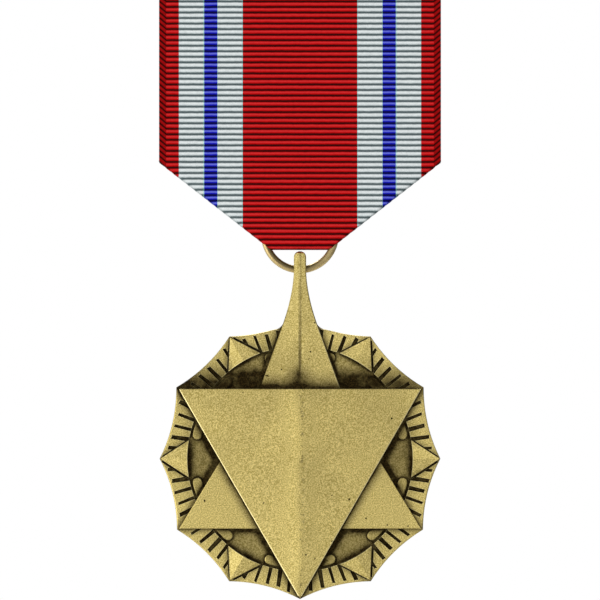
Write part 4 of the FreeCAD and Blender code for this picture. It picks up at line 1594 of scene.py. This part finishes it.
def pale_floor(count=96):
    """A round plaster slab with a small chamfer underneath."""
    z = cad_box[0][2] / MM - FLOOR_DROP
    points = []
    for radius, height in ((FLOOR_RADIUS, z), (FLOOR_RADIUS, z - 3), (FLOOR_RADIUS - 1, z - 4)):
        points += [(a, b, height) for a, b in disc_points(radius, count)]
    faces = [list(range(count)), list(range(2 * count, 3 * count))[::-1]]
    for level in (0, 1):
        for index in range(count):
            after = (index + 1) % count
            low, high = level * count, (level + 1) * count
            faces.append([low + index, low + after, high + after, high + index])
    return new_piece("pale_floor", points, faces)


floor = pale_floor()
plaster = Finish("pale_plaster", Roughness=0.85)
speckle = plaster.ramp(plaster.noise(plaster.place(), 90.0, 4.0), 0.3, 0.7)
wear(floor, plaster.paint(plaster.blend(speckle, PLASTER_DARK, PLASTER_LIGHT)))
print("floor is", 2 * FLOOR_RADIUS, "mm across")

# %% [markdown]
# The room is a world shader. It is brightest low on the left, and the light falls off smoothly to
# the opposite side, which gives each facet its own tone. A captured room could be used, but a formula
# is lighter and always there. The camera alone sees plain white, by way of the light path node.

# %% The room
BRIGHTEST_WAY = Vector((-0.75, -0.45, -0.35)).normalized()
ROOM_TONES = (
    (0.0, (0.16, 0.16, 0.17, 1)),
    (0.45, (0.66, 0.66, 0.66, 1)),
    (0.95, (0.98, 0.97, 0.94, 1)),
)
ROOM_STRENGTH = 0.9


def soft_room():
    """White behind the medal, and a soft uneven room for the metal to mirror."""
    world = bpy.data.worlds.new("soft_room")
    bpy.context.scene.world = world
    world.use_nodes = True
    tree = world.node_tree
    tree.nodes.clear()
    add = tree.nodes.new
    link = tree.links.new
    towards = add("ShaderNodeVectorMath")
    towards.operation = "DOT_PRODUCT"
    link(add("ShaderNodeTexCoord").outputs["Generated"], towards.inputs[0])
    towards.inputs[1].default_value = BRIGHTEST_WAY
    tones = add("ShaderNodeValToRGB")
    link(towards.outputs["Value"], tones.inputs[0])
    stops = tones.color_ramp.elements
    stops.new(ROOM_TONES[1][0])
    for stop, (position, tone) in zip(stops, ROOM_TONES):
        stop.position = position
        stop.color = tone
    room = add("ShaderNodeBackground")
    link(tones.outputs[0], room.inputs[0])
    room.inputs[1].default_value = ROOM_STRENGTH
    backdrop = add("ShaderNodeBackground")
    backdrop.inputs[0].default_value = (1, 1, 1, 1)
    mix = add("ShaderNodeMixShader")
    link(add("ShaderNodeLightPath").outputs["Is Camera Ray"], mix.inputs[0])
    link(room.outputs[0], mix.inputs[1])
    link(backdrop.outputs[0], mix.inputs[2])
    link(mix.outputs[0], add("ShaderNodeOutputWorld").inputs[0])


soft_room()
print("the room is brightest towards", [round(part, 2) for part in BRIGHTEST_WAY])

# %% [markdown]
# Three soft square lamps do the rest. The key stands low on the left and catches the facets that
# lean that way, the fill keeps the right side readable, and the back lamp shows the brooch when the
# medal is turned round.

# %% Lamps
LAMPS = (  # name, place and size in millimetres, power in watts
    ("key_light", (-420, -380, -130), 300, 1.25),
    ("fill_light", (260, -460, 200), 320, 0.8),
    ("back_light", (-80, 380, 330), 300, 2.6),
)
AIM = Vector((0, ring_y, ring_z - 8)) * MM  # the upper part of the pendant


def softbox(name, place, size, watts):
    """A square lamp that points at the middle of the medal."""
    light = bpy.data.lights.new(name, "AREA")
    light.size = size * MM
    light.energy = watts
    lamp = bpy.data.objects.new(name, light)
    lamp.location = Vector(place) * MM
    lamp.rotation_euler = (AIM - lamp.location).to_track_quat("-Z", "Y").to_euler()
    bpy.context.scene.collection.objects.link(lamp)


for lamp_name, lamp_place, lamp_size, lamp_watts in LAMPS:
    softbox(lamp_name, lamp_place, lamp_size, lamp_watts)
bpy.context.scene.view_settings.view_transform = "Standard"
print("lit by", len(LAMPS), "soft lamps")

# %% [markdown]
# The camera looks straight at the front, square on. A long lens from far off makes the sides of the
# ribbon parallel, as in a catalogue. The view is a little lower than the whole medal is tall, so the
# top of the ribbon runs out of it.

# %% Camera
VIEW_HEIGHT = 74.4  # height of the view where the medal hangs
VIEW_MARGIN = 0.15  # white left under the lowest tip
LENS = 200.0
SENSOR = 36.0
DISTANCE = VIEW_HEIGHT * LENS / SENSOR
camera_data = bpy.data.cameras.new("camera")
camera_data.lens = LENS
camera_data.sensor_width = SENSOR
camera_data.clip_start = 0.01
camera_data.clip_end = 10.0
camera = bpy.data.objects.new("camera", camera_data)
lowest_tip = cad_box[0][2] / MM
view_middle = lowest_tip + VIEW_HEIGHT / 2 - VIEW_MARGIN
camera.location = Vector((0, ring_y - DISTANCE, view_middle)) * MM
camera.rotation_euler = (math.radians(90), 0, 0)
bpy.context.scene.collection.objects.link(camera)
bpy.context.scene.camera = camera
print("camera is", round(DISTANCE), "mm away")

# %% [markdown]
# ## The size
# The finished pieces must fill the same box as the engineer's model, or the medal would no longer be
# the size that was designed.

# %% Finish
print("scene finished")
